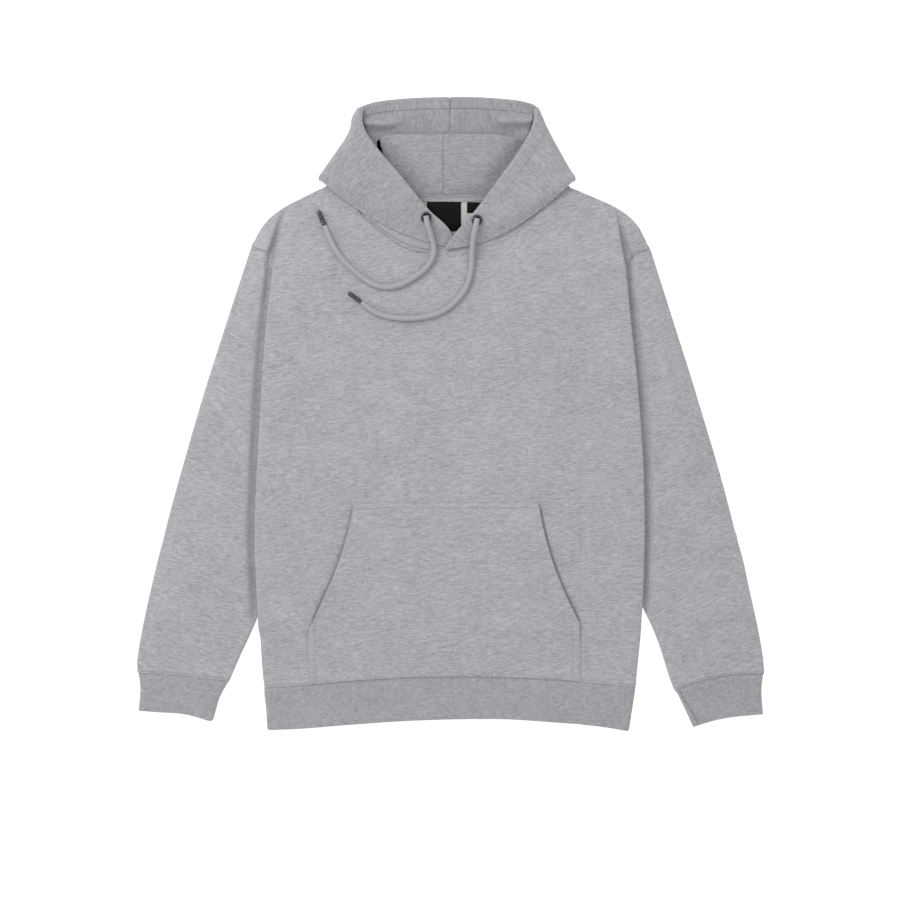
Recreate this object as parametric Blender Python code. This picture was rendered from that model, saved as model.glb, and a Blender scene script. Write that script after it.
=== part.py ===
"""Pullover hoodie laid flat, front up, its sleeves beside the body and its hood open.

Sizes are millimetres and MM turns them into Blender's metres. X runs across the
garment, Y from the hem to the hood and Z up from the table that it lies on.
Each cut piece is a cloth wall: a grid of points on the face that shows, and the
same points moved in by the cloth's thickness. "Left" is the side at -X.
"""
from math import cos, pi, radians, sin

import bmesh
import bpy
import numpy as np
from mathutils import Matrix, Vector

MM = 0.001

# Cloth and trim
FLEECE = 2.0            # wall of the body, sleeves, hood and pocket
RIB_WALL = 1.9          # wall of the cuffs and the hem, under their ribs
TAPE = 1.0              # wall of the neck tape and the labels
SEAM = 0.3              # between two pieces that are sewn edge to edge
LAY = 0.5               # between two layers that lie on each other
RIB_RISE = 0.35         # height of a knitted rib
HEM_RIBS = 104
CUFF_RIBS = 24

# Heights over the table
BODY_TOP = 7.8          # outer face of the front, where only the back is under it
SIDE_LIFT = 6.2         # what the front rises by at its sides, over the sleeves
SIDE_REACH = 96.0       # how far in from its sides the front comes down again
STRIP_TOP = 8.0         # outer face of the dropped shoulder outside the fold
SHOULDER_SLOPE = 14.0   # how far from the shoulder seam the front starts down to it
SHOULDER_TOP = 5.2      # outer face of the front along the shoulder seam
SLEEVE_TOP = 8.0        # outer face of a sleeve
SLEEVE_PRESSED = 6.2    # the same under the body
SLEEVE_COVER = 7.0      # underside of the body over a sleeve
TUBE_EDGE = 4.0         # radius of a flattened tube's edges, from above
RETURN = 30.0           # width of the front that is folded under each side
ARMHOLE_RETURN = 3.0    # the same near the armhole
ARMHOLE = 198.0         # height up the side at which the armhole seam starts
SIDE_INSET = 4.0        # from a side's outline to where its fold begins
SIDE_RADIUS = 3.3       # least radius of that fold
SLEEVE_RUNOUT = 34.0    # from a sleeve's hidden edge to where the back is down again
RUNOUT_FADE = 24.0      # over which the back comes down there

# Stretches of the body's sides, from the hem up, and what they fade in and out over
COVERED, COVERED_FADES = (-296.0, 216.0), (42.0, 20.0)  # with a sleeve under the side
RIDGE_END, RIDGE_FADE = 262.0, 58.0     # the fold beside the sleeves runs on to here
RETURN_END, RETURN_FADE = 172.0, 50.0   # full width of what is folded under
ARMHOLE_WAY = 0.45, -0.89               # square to the armhole seam, leading off the body

HOOD_FOLD = 3.3         # radius of the fold at the top of the hood's back
HOOD_RETURN = 40.0      # cloth folded under behind that fold
BEHIND_DROP = 0.24, 0.16    # where the layer behind comes down, as shares of its width

CORD = 7.0
CORD_POINTS = 26
EYELET_OUTER = 14.0
EYELET_HOLE = 7.6
EYELET_HEIGHT = 2.2
AGLET = 5.0
AGLET_LENGTH = 20.0


def table(columns, *rows):
    """Rows of numbers under named columns."""
    return dict(zip(columns.split(), np.array(rows, float).T))


def points(rows, *names):
    """Some columns of a table side by side, one point a row."""
    return np.stack([rows[name] for name in names], axis=-1)


# Where each side of the body folds under, from the hem seam to the shoulder
SIDES = table("y left right",
              (-348, -236, 234.5),
              (-313, -240.5, 237),
              (-257, -246, 243.5),
              (-224, -249, 246),
              (-160, -251, 248),
              (-84, -249, 247),
              (-7, -245, 242),
              (54, -241, 237),
              (102, -238, 232),
              (141, -234, 228),
              (200, -230, 225),
              (230, -224, 220),
              (257, -214, 213))

# The sleeves' hidden inner edges, under the body
SLEEVE_INNER = table("y left right",
                     (-257, -245.5, 246),
                     (-224, -231, 233),
                     (-160, -212, 211),
                     (-84, -198, 196),
                     (-7, -190, 188),
                     (54, -186, 185),
                     (141, -181, 181),
                     (190, -180, 180))

HEM_SEAM = table("x y", (-236, -347.6), (-179, -344.4), (-120, -339.2), (-44, -334.9),
                 (10, -334.3), (92, -336), (163, -340.2), (234.5, -347.2))
HEM_SIDES = table("outer_x inner_x outer_y inner_y bow",
                  (-235.8, 234.3, 0, 0, 0), (-233, 227, 0, 0, 0))
HEM_EDGE = table("x y", (-233, -401.3), (-198, -400), (-133, -395), (-57, -389.8),
                 (10, -387.6), (70, -387.6), (134, -391.8), (188, -396), (227, -401.5))

# Front neckline from the shoulder's high point to the centre front
NECK_LEFT = table("share x y", (0, -134, 307), (0.12, -131, 285), (0.25, -121, 262),
                  (0.36, -109, 252.8), (0.50, -88, 240.2), (0.65, -62, 228.6),
                  (0.80, -36, 219.6), (0.92, -14, 213), (1, -2, 211))
NECK_RIGHT = table("share x y", (0, 128, 306), (0.12, 128, 285), (0.25, 120, 263),
                   (0.36, 105, 249.6), (0.50, 84, 236.6), (0.65, 61, 224.2),
                   (0.80, 38, 216.4), (0.92, 14, 211.6), (1, -2, 210.8))

# Outer ends of the armhole seams, and the shoulder seams from there to the neck
SHOULDER_LEFT = table("share x y", (0, -253.5, 211.5), (0.08, -247, 224), (0.2, -236, 243),
                      (0.36, -216, 260), (0.56, -190, 275), (0.8, -158, 292), (1, -134, 307))
SHOULDER_RIGHT = table("share x y", (0, 253.5, 209), (0.08, 247.5, 222), (0.2, 236, 241),
                       (0.36, 216, 258.6), (0.56, 188, 273.5), (0.8, 154, 291.5), (1, 128, 306))

# Sleeves from the armhole seam to the cuff seam: outer and inner edge of each section
SLEEVE_LEFT = table("outer_x outer_y inner_x inner_y bow",
                    (-253.5, 211, -180, 172, 0.8),
                    (-261, 188, -180.5, 155, 0),
                    (-275.5, 144, -182, 120, 0),
                    (-291.8, 93.5, -184, 75, 0),
                    (-308.3, 42.7, -188, 20, 0),
                    (-323.5, -8, -193, -40, 0),
                    (-338, -59, -201, -103, 0),
                    (-352.5, -110, -213, -165, 0),
                    (-365.5, -160.5, -229, -220, 0),
                    (-377, -210, -245.5, -258, 0),
                    (-386.5, -250, -257, -283, 0),
                    (-394, -287.5, -268.5, -310, 0.3),
                    (-397.5, -328.2, -281, -339.3, 1))
SLEEVE_RIGHT = table("outer_x outer_y inner_x inner_y bow",
                     (253.5, 208.6, 180, 172, 0.8),
                     (260, 188, 180.5, 155, 0),
                     (274, 144, 182, 120, 0),
                     (290, 93.5, 183.5, 75, 0),
                     (306.4, 42.7, 187, 20, 0),
                     (321.5, -8, 191.5, -40, 0),
                     (337, -59, 199, -103, 0),
                     (351, -110, 212, -165, 0),
                     (363.5, -160.5, 231, -220, 0),
                     (375.5, -210, 245.5, -249, 0),
                     (385, -250, 258.5, -279, 0),
                     (392.5, -287.5, 272.5, -316, 2),
                     (397.3, -330, 285, -350.2, 5))
# Cuffs from their seam to their mouth, with the bow of each section's line
CUFF_LEFT = table("outer_x outer_y inner_x inner_y bow",
                  (-397.5, -328.5, -281, -339.6, 1),
                  (-394.7, -354, -293.5, -360, 1.5),
                  (-396.5, -377.3, -302, -390, 3))
CUFF_RIGHT = table("outer_x outer_y inner_x inner_y bow",
                   (397.3, -330.3, 285, -350.5, 5),
                   (394.8, -354, 293, -369, 4.5),
                   (396, -381.4, 307, -397.3, 4))

POCKET_LEFT = table("x y", (-181, -343.7), (-182.5, -276), (-174, -264.4), (-158.5, -229.6),
                    (-145, -198), (-133, -162), (-124.5, -125.5), (-123.4, -113.8))
POCKET_RIGHT = table("x y", (165.4, -339.6), (164.2, -276), (159, -260.2), (148.5, -238),
                     (134, -204.3), (121, -166.5), (112.5, -124), (110.6, -112.3))
POCKET_PUFF = 1.4
POCKET_LIFT = 0.7       # of the pocket's lower edge from the hem seam

# Hood sides, a row for each section from the neck to the crown. "open" is the edge
# of the hood's opening, "fold" the outline where the cloth turns under, from "high"
# to "low", and "back" where the layer behind meets the centre seam.
HOOD_LEFT = table("share open_x open_y open_z fold_x fold_y low high back_y",
                  (0.00, 2, 210, 11.5, -168, 295.5, 9.4, 17.0, 318),
                  (0.09, 1.5, 229, 14.0, -168, 300, 9.4, 18.5, 322),
                  (0.25, -28, 257, 17.0, -162.5, 308, 7.0, 18.5, 330),
                  (0.45, -60, 297, 17.5, -149.5, 328, 0.4, 18.0, 344),
                  (0.65, -91, 333, 17.0, -136.5, 349, 0.0, 17.0, 360),
                  (0.82, -109, 359, 15.0, -128, 368, 0.0, 15.0, 378),
                  (0.93, -112.5, 377, 11.5, -124, 382, 0.0, 12.0, 392),
                  (1.00, -110.5, 388, 8.0, -118.5, 389.5, 0.0, 8.5, 402))
HOOD_RIGHT = table("share open_x open_y open_z fold_x fold_y low high back_y",
                   (0.00, -9, 207.5, 15.5, 159.5, 295.5, 9.4, 17.0, 318),
                   (0.09, 3, 225, 18.5, 159.5, 300, 9.4, 18.5, 322),
                   (0.25, 29, 254, 19.0, 154, 308, 7.0, 18.5, 330),
                   (0.45, 60, 295.5, 18.0, 141.5, 328, 0.4, 18.0, 344),
                   (0.65, 87, 333, 17.0, 129, 350, 0.0, 17.0, 360),
                   (0.82, 102, 361, 15.0, 119.5, 369, 0.0, 15.0, 378),
                   (0.93, 106.5, 379, 11.5, 116, 383, 0.0, 12.0, 392),
                   (1.00, 106, 388, 8.0, 113, 389.5, 0.0, 8.5, 402))
# A flap's seam to the front neckline, as it shows, and its outer height there
NECK_ROW_LEFT = table("share x y top", (0, 2, 210, 10.6), (0.12, -20, 213.8, 10.6),
                      (0.36, -62, 227.4, 10.6), (0.55, -93, 241.6, 10.8),
                      (0.66, -110, 252, 11.0), (0.74, -122, 259.5, 11.4),
                      (0.82, -134, 266.5, 12.2), (0.93, -152, 281, 15.0), (1, -164, 292, 17))
NECK_ROW_RIGHT = table("share x y top", (0, -9, 207.5, 14.6), (0.13, 14, 209.8, 12.4),
                       (0.28, 38, 215.2, 10.6), (0.42, 62, 223.4, 10.6),
                       (0.57, 86, 236.6, 10.8), (0.69, 104, 248.2, 11.0),
                       (0.77, 115, 256.5, 11.4), (0.84, 126, 265, 12.2),
                       (0.94, 144, 280, 15.0), (1, 156, 291.5, 17))
CROWN_BOW = 5.0
CROWN_SEAM = -1.0       # where the two hood sides meet, at the crown

# The back of the hood, seen inside it: from the back neckline's share "neck" to the fold
HOOD_BACK_LEFT = table("share neck fold_x fold_y", (0, 0.25, -94, 345), (0.12, 0.28, -89, 350.5),
                       (0.3, 0.325, -75, 353.9), (0.6, 0.4, -45, 354.6), (1, 0.5, -9.75, 354.5))
HOOD_BACK_RIGHT = table("share neck fold_x fold_y", (0, 0.74, 93.5, 342), (0.12, 0.71, 88.5, 347.5),
                        (0.3, 0.665, 75, 351.5), (0.6, 0.6, 42, 354.6), (1, 0.5, -9.45, 354.5))
# Its section: share of the way up, and the height of the face that shows
HOOD_BACK_RISE = table("share height", (0, 2.0), (0.18, 7.0), (0.45, 9.6), (0.8, 11.2), (1, 11.2))

# Back neckline from shoulder to shoulder, as one line
BACK_NECK = table("share x y", (0, -134, 307), (0.10, -119, 293), (0.18, -104, 285.9),
                  (0.34, -60, 278.5), (0.5, -9.6, 275.4), (0.66, 42, 277.8), (0.82, 98, 285.9),
                  (0.90, 113, 292), (1, 128, 306))
NECK_SEGMENTS = 12
TAPE_WIDTH = 8.5
TAPE_SHARES = 0.27, 0.73

# Rows of the body's grids, as shares up to the armhole's start and from there on
LOWER_ROWS = np.concatenate([np.linspace(0, 0.84, 10), [0.89, 0.925, 0.95, 0.975, 1]])
UPPER_ROWS = np.linspace(0, 1, 5)
SHOULDER_SHARE = 0.25   # of the body's upper edge, to its neckline at each end
SHOULDER_SPREAD = 0.155     # of the hem's width, under that share
HIDDEN_DROP = 13.0, 5.0     # of a sleeve's first two rings, under the body
BEND = np.radians([30, 60, 90, 120, 150])      # round a fold, between its two layers

NECK_LABEL = dict(left=-28.5, right=12.0, top=267.0, bottom=236.5)
SIZE_LABEL = dict(left=21.6, right=39.0, top=266.8, bottom=254.3)
LABEL_BOW = 0.0125      # of a label's width, how far its middle stands off

EYELET_LEFT = (-31.1, 247.8, 17.4)
EYELET_RIGHT = (33.2, 244.2, 19.4)

# Drawcords, from their eyelet over the flap and down onto the front
CORD_LEFT = table("x y z", (-30.9, 247.2, 23.6), (-30.4, 243, 23.9), (-29.0, 237.5, 23.2),
                  (-26.8, 231, 21.2), (-23.8, 221, 17.0), (-21.0, 208, 13.4),
                  (-24.6, 194, 12.2), (-32.8, 183, 12.2), (-46.7, 172.2, 12.2),
                  (-64.5, 162.8, 12.2), (-82.4, 159.8, 12.2), (-96.2, 162.6, 12.2),
                  (-109.9, 170.8, 12.3), (-123.6, 181.7, 12.5), (-137.5, 195.6, 12.8),
                  (-148.4, 212.1, 13.0), (-155.4, 227.2, 12.8), (-158.8, 235.5, 12.6))
CORD_RIGHT = table("x y z", (33.0, 243.6, 25.6), (32.4, 239.4, 25.9), (31.0, 234, 25.2),
                   (29.2, 226, 22.2), (27.6, 213, 17.0), (26.8, 199, 13.0),
                   (26.0, 184, 12.2), (23.4, 171, 12.2), (18.1, 157, 12.2),
                   (8.4, 144.7, 12.2), (-5.3, 132.6, 12.2), (-20.4, 125.3, 12.2),
                   (-41.1, 121.2, 12.2), (-61.9, 120.5, 12.2), (-82.4, 123.3, 12.2),
                   (-96.2, 128.6, 12.2), (-107.1, 136, 12.3), (-113.2, 140.6, 12.3))


def smooth(at, knots, values):
    """Value at a place between a table's rows, on cubic pieces that share their slopes."""
    knots = np.asarray(knots, float)
    values = np.asarray(values, float)
    at = np.clip(np.asarray(at, float), knots[0], knots[-1])
    spread = (-1,) + (1,) * (values.ndim - 1)
    gap = np.diff(knots)
    rise = np.diff(values, axis=0) / gap.reshape(spread)
    near = (gap[1:] / (gap[1:] + gap[:-1])).reshape(spread)
    slope = np.concatenate([rise[:1], near * rise[:-1] + (1 - near) * rise[1:], rise[-1:]])
    i = np.clip(np.searchsorted(knots, at, side="right") - 1, 0, len(gap) - 1)
    t = ((at - knots[i]) / gap[i]).reshape(at.shape + (1,) * (values.ndim - 1))
    run = gap[i].reshape(t.shape)
    return ((1 + 2 * t) * (1 - t) ** 2 * values[i] + t * (1 - t) ** 2 * run * slope[i]
            + t ** 2 * (3 - 2 * t) * values[i + 1] + t ** 2 * (t - 1) * run * slope[i + 1])


def step(x):
    """0 up to 0, 1 from 1 on, and an even curve between."""
    x = np.clip(x, 0, 1)
    return x * x * (3 - 2 * x)


def unit(vectors):
    return vectors / np.linalg.norm(vectors, axis=-1, keepdims=True)


def lengths(line):
    """How far along it each point of a line is, as a share of its length."""
    run = np.concatenate([[0], np.cumsum(np.linalg.norm(np.diff(line, axis=0), axis=1))])
    return run / run[-1]


def patch(bottom, top, left, right, across, along):
    """Points of a panel inside four edges, each a function of a share from 0 to 1.

    A side edge's bends fade fast into the panel.
    """
    u, v = np.meshgrid(across, along)
    u, v = u[..., None], v[..., None]
    face = (1 - v) * bottom(across)[None] + v * top(across)[None]
    for edge, end, grip in ((left, 0.0, (1 - u) ** 4), (right, 1.0, u ** 4)):
        straight = (1 - v) * bottom(np.array([end])) + v * top(np.array([end]))
        face = face + grip * (edge(along)[:, None] - straight)
    return face


def normals(face, closed):
    """Unit normals of a grid of points.

    A closed grid's last column repeats its first, and its end rings' normals stay in
    the plane of the ring, so that the wall ends square at its seam.
    """
    across, along = np.gradient(face, axis=1), np.gradient(face, axis=0)
    if closed:
        across[:, 0] = across[:, -1] = (face[:, 1] - face[:, -2]) / 2
        for ring in (0, -1):
            points_round = face[ring] - face[ring].mean(axis=0)
            plane = np.cross(points_round[:-1], points_round[1:]).sum(axis=0)
            along[ring] = plane * np.sign((along[ring] @ plane).sum())
    return unit(np.cross(across, along))


def cloth(name, face, wall, material, closed=False, raised=0.0, floor=None, upright=0.0):
    """A wall of cloth from the grid of points on its outer face, in rows.

    raised lifts the outer face alone, floor keeps both faces over the table, and where
    upright is 1 the wall's thickness is measured straight up or down.
    """
    normal = normals(face, closed)
    normal[..., :2] *= 1 - np.asarray(upright)[..., None]
    normal = unit(normal)
    inner = face - wall * normal
    outer = face + np.asarray(raised)[..., None] * normal
    if floor is not None:
        outer[..., 2] = np.maximum(outer[..., 2], floor)
        inner[..., 2] = np.maximum(inner[..., 2], floor + wall)
    outer, inner = outer.reshape(-1, 3), inner.reshape(-1, 3)
    rows, columns = face.shape[:2]
    mesh = bmesh.new()
    spot = mesh.verts.layers.int.new("spot")
    bmesh.ops.create_grid(mesh, x_segments=columns - 1, y_segments=rows - 1, size=0.5)
    order = sorted(mesh.verts, key=lambda v: (round(v.co.y, 5), round(v.co.x, 5)))
    for number, vertex in enumerate(order):
        vertex[spot] = number
        vertex.co = outer[number] * MM
    if closed:
        bmesh.ops.remove_doubles(mesh, verts=mesh.verts, dist=0.01 * MM)
    made = bmesh.ops.extrude_face_region(mesh, geom=mesh.faces[:], use_keep_orig=True)
    for vertex in (v for v in made["geom"] if isinstance(v, bmesh.types.BMVert)):
        vertex.co = inner[vertex[spot]] * MM
    bmesh.ops.recalc_face_normals(mesh, faces=mesh.faces)
    return finish(name, mesh, material)


def finish(name, mesh, material):
    """Make the object of a mesh, smooth but for its hard edges."""
    data = bpy.data.meshes.new(name)
    mesh.to_mesh(data)
    mesh.free()
    data.materials.append(material)
    data.shade_smooth()
    data.set_sharp_from_angle(angle=radians(50))
    thing = bpy.data.objects.new(name, data)
    bpy.context.scene.collection.objects.link(thing)
    return thing


def finish_material(name, colour, roughness, metallic=0.0):
    """A Principled material."""
    material = bpy.data.materials.new(name)
    material.use_nodes = True
    shader = material.node_tree.nodes["Principled BSDF"]
    shader.inputs["Base Color"].default_value = (*colour, 1)
    shader.inputs["Roughness"].default_value = roughness
    shader.inputs["Metallic"].default_value = metallic
    return material


# The garment's form, as heights and lines over the table

def outward(side):
    """Which way along X leads off the garment."""
    return -1 if side == "left" else 1


def side_fold(y, side):
    return smooth(y, SIDES["y"], SIDES[side])


def sleeve_inner(y, side):
    return smooth(y, SLEEVE_INNER["y"], SLEEVE_INNER[side])


def hem_seam(x):
    return smooth(x, HEM_SEAM["x"], HEM_SEAM["y"])


def shoulder_seam(x):
    """Height up the garment of the shoulder seams, past the neckline at both sides."""
    seam = np.concatenate([points(SHOULDER_LEFT, "x", "y"), points(SHOULDER_RIGHT, "x", "y")[::-1]])
    return np.interp(x, seam[:, 0], seam[:, 1])


def return_width(y):
    """Width of the cloth folded under a side, next to nothing at the armhole."""
    return ARMHOLE_RETURN + (RETURN - ARMHOLE_RETURN) * step((RETURN_END - y) / RETURN_FADE)


def over_sleeve(y):
    """1 where a sleeve lies under the body's side, 0 past its ends."""
    return step((y - COVERED[0]) / COVERED_FADES[0]) * step((COVERED[1] - y) / COVERED_FADES[1])


def ridge(y):
    """How far the fold beside the sleeve has risen, from the shoulder down."""
    return step((y - COVERED[0]) / COVERED_FADES[0]) * step((RIDGE_END - y) / RIDGE_FADE)


def back_low(x, y):
    """Underside of the back: on the table, and over the sleeves at its sides."""
    left = step((sleeve_inner(y, "left") + SLEEVE_RUNOUT - x) / RUNOUT_FADE)
    right = step((x - sleeve_inner(y, "right") + SLEEVE_RUNOUT) / RUNOUT_FADE)
    outside = np.maximum(side_fold(y, "left") - x, x - side_fold(y, "right"))
    beside_sleeve = step((outside - 2) / 10) * step((y - 190) / 8)
    return SLEEVE_COVER * over_sleeve(y) * np.maximum(left, right) * (1 - beside_sleeve)


def front_top(x, y):
    """Outer face of the front."""
    height = BODY_TOP
    for side in ("left", "right"):
        inside = outward(side) * (side_fold(y, side) - x)
        rise = SIDE_LIFT * ridge(y)
        inner = rise * np.exp(-(np.maximum(inside, 0) / SIDE_REACH) ** 2)
        outer = (BODY_TOP + rise - STRIP_TOP) * np.exp(-(inside / 7) ** 2) + STRIP_TOP - BODY_TOP
        height = height + np.where(inside > 0, inner, outer)
    # Down to the back along the shoulder seams
    below = shoulder_seam(x) - y
    to_seam = step(1 - below / SHOULDER_SLOPE) * step((np.abs(x) - 118) / 12)
    return height + (SHOULDER_TOP - height) * to_seam


def past_armhole(y):
    """How far the side's edge has turned from the fold to the armhole seam."""
    return step((y - ARMHOLE + 4) / 24)


def side_way(y, side):
    """Which way leads off the body at a height: sideways, and square to the armhole seam."""
    turn = past_armhole(y)[:, None]
    out, down = ARMHOLE_WAY
    return unit((1 - turn) * (outward(side), 0) + turn * (outward(side) * out, down))


def side_line(side):
    """The body's side where its fold begins, from the hem seam up to the armhole."""
    def line(share):
        y = SIDES["y"][0] + (ARMHOLE - SIDES["y"][0]) * np.asarray(share, float)
        x = side_fold(y, side) - outward(side) * SIDE_INSET
        return np.stack([x, np.maximum(y, hem_seam(x) + SEAM / 2)], axis=-1)
    return line


def armhole_line(side):
    """On from there beside the armhole seam, to the tip of the shoulder."""
    shoulder = SHOULDER_LEFT if side == "left" else SHOULDER_RIGHT
    tip = points(shoulder, "x", "y")[0]
    tip = tip - SIDE_INSET * side_way(tip[1:], side)[0]
    start = side_line(side)(1.0)
    knots = np.array([start, (start + tip) / 2 + (0, 2.5), tip])
    return lambda share: smooth(share, (0, 0.5, 1), knots)


def body_plan(low_edges, high_edges, necks, across):
    """A body panel from above: up to the armholes, and on to the shoulders and neckline."""
    (start, left), (end, right) = (edge(np.arange(2)) for edge in low_edges)
    tips = [edge(np.ones(1))[0] for edge in high_edges]

    def spread(share):
        return smooth(share, (0, SHOULDER_SHARE, 0.5, 1 - SHOULDER_SHARE, 1),
                      (0, SHOULDER_SPREAD, 0.5, 1 - SHOULDER_SPREAD, 1))

    def hem(share):
        x = start[0] + (end[0] - start[0]) * spread(share)
        return np.stack([x, hem_seam(x) + SEAM / 2], axis=-1)

    def level(share):
        return left + (right - left) * spread(share)[:, None]

    lower = patch(hem, level, *low_edges, across, LOWER_ROWS)
    upper = patch(level, body_top_edge(necks, tips), *high_edges, across, UPPER_ROWS)
    return np.concatenate([lower, upper[1:]])


def body_top_edge(necks, tips):
    """From one tip along the shoulder seam, the neckline and the other seam to its tip."""
    left_shoulder, right_shoulder = (
        np.concatenate([[tip], points(rows, "x", "y")[1:]])
        for tip, rows in zip(tips, (SHOULDER_LEFT, SHOULDER_RIGHT)))
    neck_share = 0.5 - SHOULDER_SHARE

    def half(share, shoulder, rows, neck):
        on_shoulder = share < SHOULDER_SHARE - 1e-6
        return np.where(on_shoulder[:, None],
                        smooth(share / SHOULDER_SHARE, rows["share"], shoulder),
                        neck((share - SHOULDER_SHARE) / neck_share))

    def line(share):
        share = np.asarray(share, float)
        return np.where((share <= 0.5)[:, None],
                        half(share, left_shoulder, SHOULDER_LEFT, necks[0]),
                        half(1 - share, right_shoulder, SHOULDER_RIGHT, necks[1]))
    return line


def back_neck(share):
    """Back neckline from shoulder to shoulder, in the straight stretches it is made of."""
    knots = np.linspace(0, 1, NECK_SEGMENTS + 1)
    line = smooth(knots, BACK_NECK["share"], points(BACK_NECK, "x", "y"))
    return np.stack([np.interp(share, knots, line[:, 0]), np.interp(share, knots, line[:, 1])], -1)


# The pieces

def make_front(material):
    """The front: its top layer, and what is folded under at each side."""
    shoulder = np.linspace(0, SHOULDER_SHARE, 6)
    neckline = np.linspace(SHOULDER_SHARE, 1 - SHOULDER_SHARE, 12)
    across = np.concatenate([shoulder[:-1], neckline, 1 - shoulder[-2::-1]])
    necks = (lambda s: smooth(s, NECK_LEFT["share"], points(NECK_LEFT, "x", "y")),
             lambda s: smooth(s, NECK_RIGHT["share"], points(NECK_RIGHT, "x", "y")))
    plan = body_plan((side_line("left"), side_line("right")),
                     (armhole_line("left"), armhole_line("right")), necks, across)
    top = front_top(plan[..., 0], plan[..., 1])
    face = np.concatenate([plan, top[..., None]], axis=-1)
    left_wrap, right_wrap = side_wrap(face[:, 0], "left"), side_wrap(face[:, -1], "right")
    face = np.concatenate([left_wrap[:, ::-1], face, right_wrap], axis=1)
    face[0, :, 1] = hem_seam(face[0, :, 0]) + SEAM / 2
    wrap = left_wrap.shape[1]
    level = np.ones(len(across))
    level[[0, -1]], level[[1, -2]] = 0, 0.5
    upright = np.tile(np.concatenate([np.zeros(wrap), level, np.zeros(wrap)]), (len(face), 1))
    upright[:, [0, -1]] = step((165 - face[:, [0, -1], 1]) / 15)
    return cloth("front", face, FLEECE, material, floor=0.0, upright=upright)


def side_wrap(edge, side):
    """Columns that carry the front round its side and under, or out to its armhole seam."""
    low = back_low(edge[:, 0], edge[:, 1])
    radius = np.maximum((edge[:, 2] - low) / 2, SIDE_RADIUS)
    full = pi * radius + return_width(edge[:, 1])
    wrapped = SIDE_INSET + (full - SIDE_INSET) * step((ARMHOLE - edge[:, 1]) / 50)
    strip = past_armhole(edge[:, 1])
    columns = []
    for k in range(1, 8):
        travel = pi * radius * min(k, 4) / 4 + return_width(edge[:, 1]) * max(k - 4, 0) / 3
        travel = travel * wrapped / full
        angle = np.minimum(travel / radius, pi)
        out = radius * np.sin(angle) - (travel - angle * radius)
        out = out + strip * (SIDE_INSET * k / 7 - out)
        off = out[:, None] * side_way(edge[:, 1], side)
        column = edge + np.column_stack([off, -radius * (1 - np.cos(angle))])
        turned = step((travel / radius - pi) / 0.3) * (wrapped / full) ** 4
        settled = back_low(column[:, 0], column[:, 1])
        column[:, 2] += turned * (settled - column[:, 2])
        outside = np.minimum(front_top(column[:, 0], column[:, 1]), edge[:, 2])
        column[:, 2] += strip * (outside - column[:, 2])
        columns.append(column)
    return np.stack(columns, axis=1)


def make_back(material):
    """The back: flat on the table, and up over the sleeves at its sides."""
    sides = np.array([0, 0.035, 0.07, 0.105, 0.14, 0.195])
    neck_columns = np.linspace(SHOULDER_SHARE, 1 - SHOULDER_SHARE, NECK_SEGMENTS + 1)
    across = np.concatenate([sides, neck_columns, 1 - sides[::-1]])

    def low_edge(side):
        def line(share):
            place = side_line(side)(share)
            place[..., 0] -= outward(side) * (return_width(place[..., 1]) + SEAM)
            place[..., 1] = np.where(share == 0, hem_seam(place[..., 0]) + SEAM / 2, place[..., 1])
            return place
        return line

    def high_edge(side):
        start = low_edge(side)(1.0)
        seam = armhole_line(side)

        def line(share):
            share = np.asarray(share, float)[:, None]
            place = seam(share[:, 0]) + 0.9 * SIDE_INSET * side_way(np.full(len(share), 999), side)
            return start * (1 - share) ** 2 + place * (1 - (1 - share) ** 2) + (0, 2) * share * (1 - share)
        return line

    necks = (lambda share: back_neck(share / 2) - (0, SEAM / 2),
             lambda share: back_neck(1 - share / 2) - (0, SEAM / 2))
    plan = body_plan((low_edge("left"), low_edge("right")),
                     (high_edge("left"), high_edge("right")), necks, across)
    low = back_low(plan[..., 0], plan[..., 1])
    face = np.concatenate([plan, low[..., None]], axis=-1)[:, ::-1]
    return cloth("back", face, FLEECE, material, floor=0.0, upright=1.0)


def tube(rows, sections, top, over, under):
    """A flattened tube in rings, over the top from its outer edge and back underneath."""
    at = np.arange(len(rows["bow"]))
    outer = smooth(sections, at, points(rows, "outer_x", "outer_y"))[:, None]
    inner = smooth(sections, at, points(rows, "inner_x", "inner_y"))[:, None]
    bow = smooth(sections, at, rows["bow"])[:, None]
    inset = TUBE_EDGE / np.linalg.norm(inner - outer, axis=2)
    over_shares = inset + (1 - 2 * inset) * np.linspace(0, 1, over + 1)
    under_shares = inset + (1 - 2 * inset) * np.linspace(1, 0, under + 1)
    round_edge = inset * (1 - np.sin(BEND))
    share = np.concatenate([over_shares, 1 - round_edge, under_shares, round_edge, inset], axis=1)
    height = np.concatenate([np.ones(over + 1), (1 + np.cos(BEND)) / 2, np.zeros(under + 1),
                             (1 - np.cos(BEND)) / 2, [1]])
    place = outer + (inner - outer) * share[..., None]
    place[..., 1] += bow * np.sin(pi * share)
    return np.concatenate([place, (height * top(place[..., 0], place[..., 1]))[..., None]], axis=-1)


def make_sleeve(side, material):
    """A sleeve from the armhole seam to the cuff seam, pressed flatter under the body."""
    def top(x, y):
        outside = outward(side) * (x - side_fold(y, side))
        pressed = step((30 - outside) / 18) * over_sleeve(np.minimum(y, 180))
        return SLEEVE_TOP + (SLEEVE_PRESSED - SLEEVE_TOP) * pressed

    rows = SLEEVE_LEFT if side == "left" else SLEEVE_RIGHT
    face = tube(rows, np.linspace(0, len(rows["bow"]) - 1, 13), top, over=8, under=4)
    # The hidden part of the armhole edge lies lower, clear of the body's fold
    outside = outward(side) * (face[0, :, 0] - side_fold(ARMHOLE, side))
    hidden = step((8 - outside) / 14)
    face[:2, :, 1] -= np.outer(HIDDEN_DROP, hidden)
    if side == "right":
        face = face[:, ::-1]
    return cloth("sleeve_" + side, face[::-1], FLEECE, material, closed=True)


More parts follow.
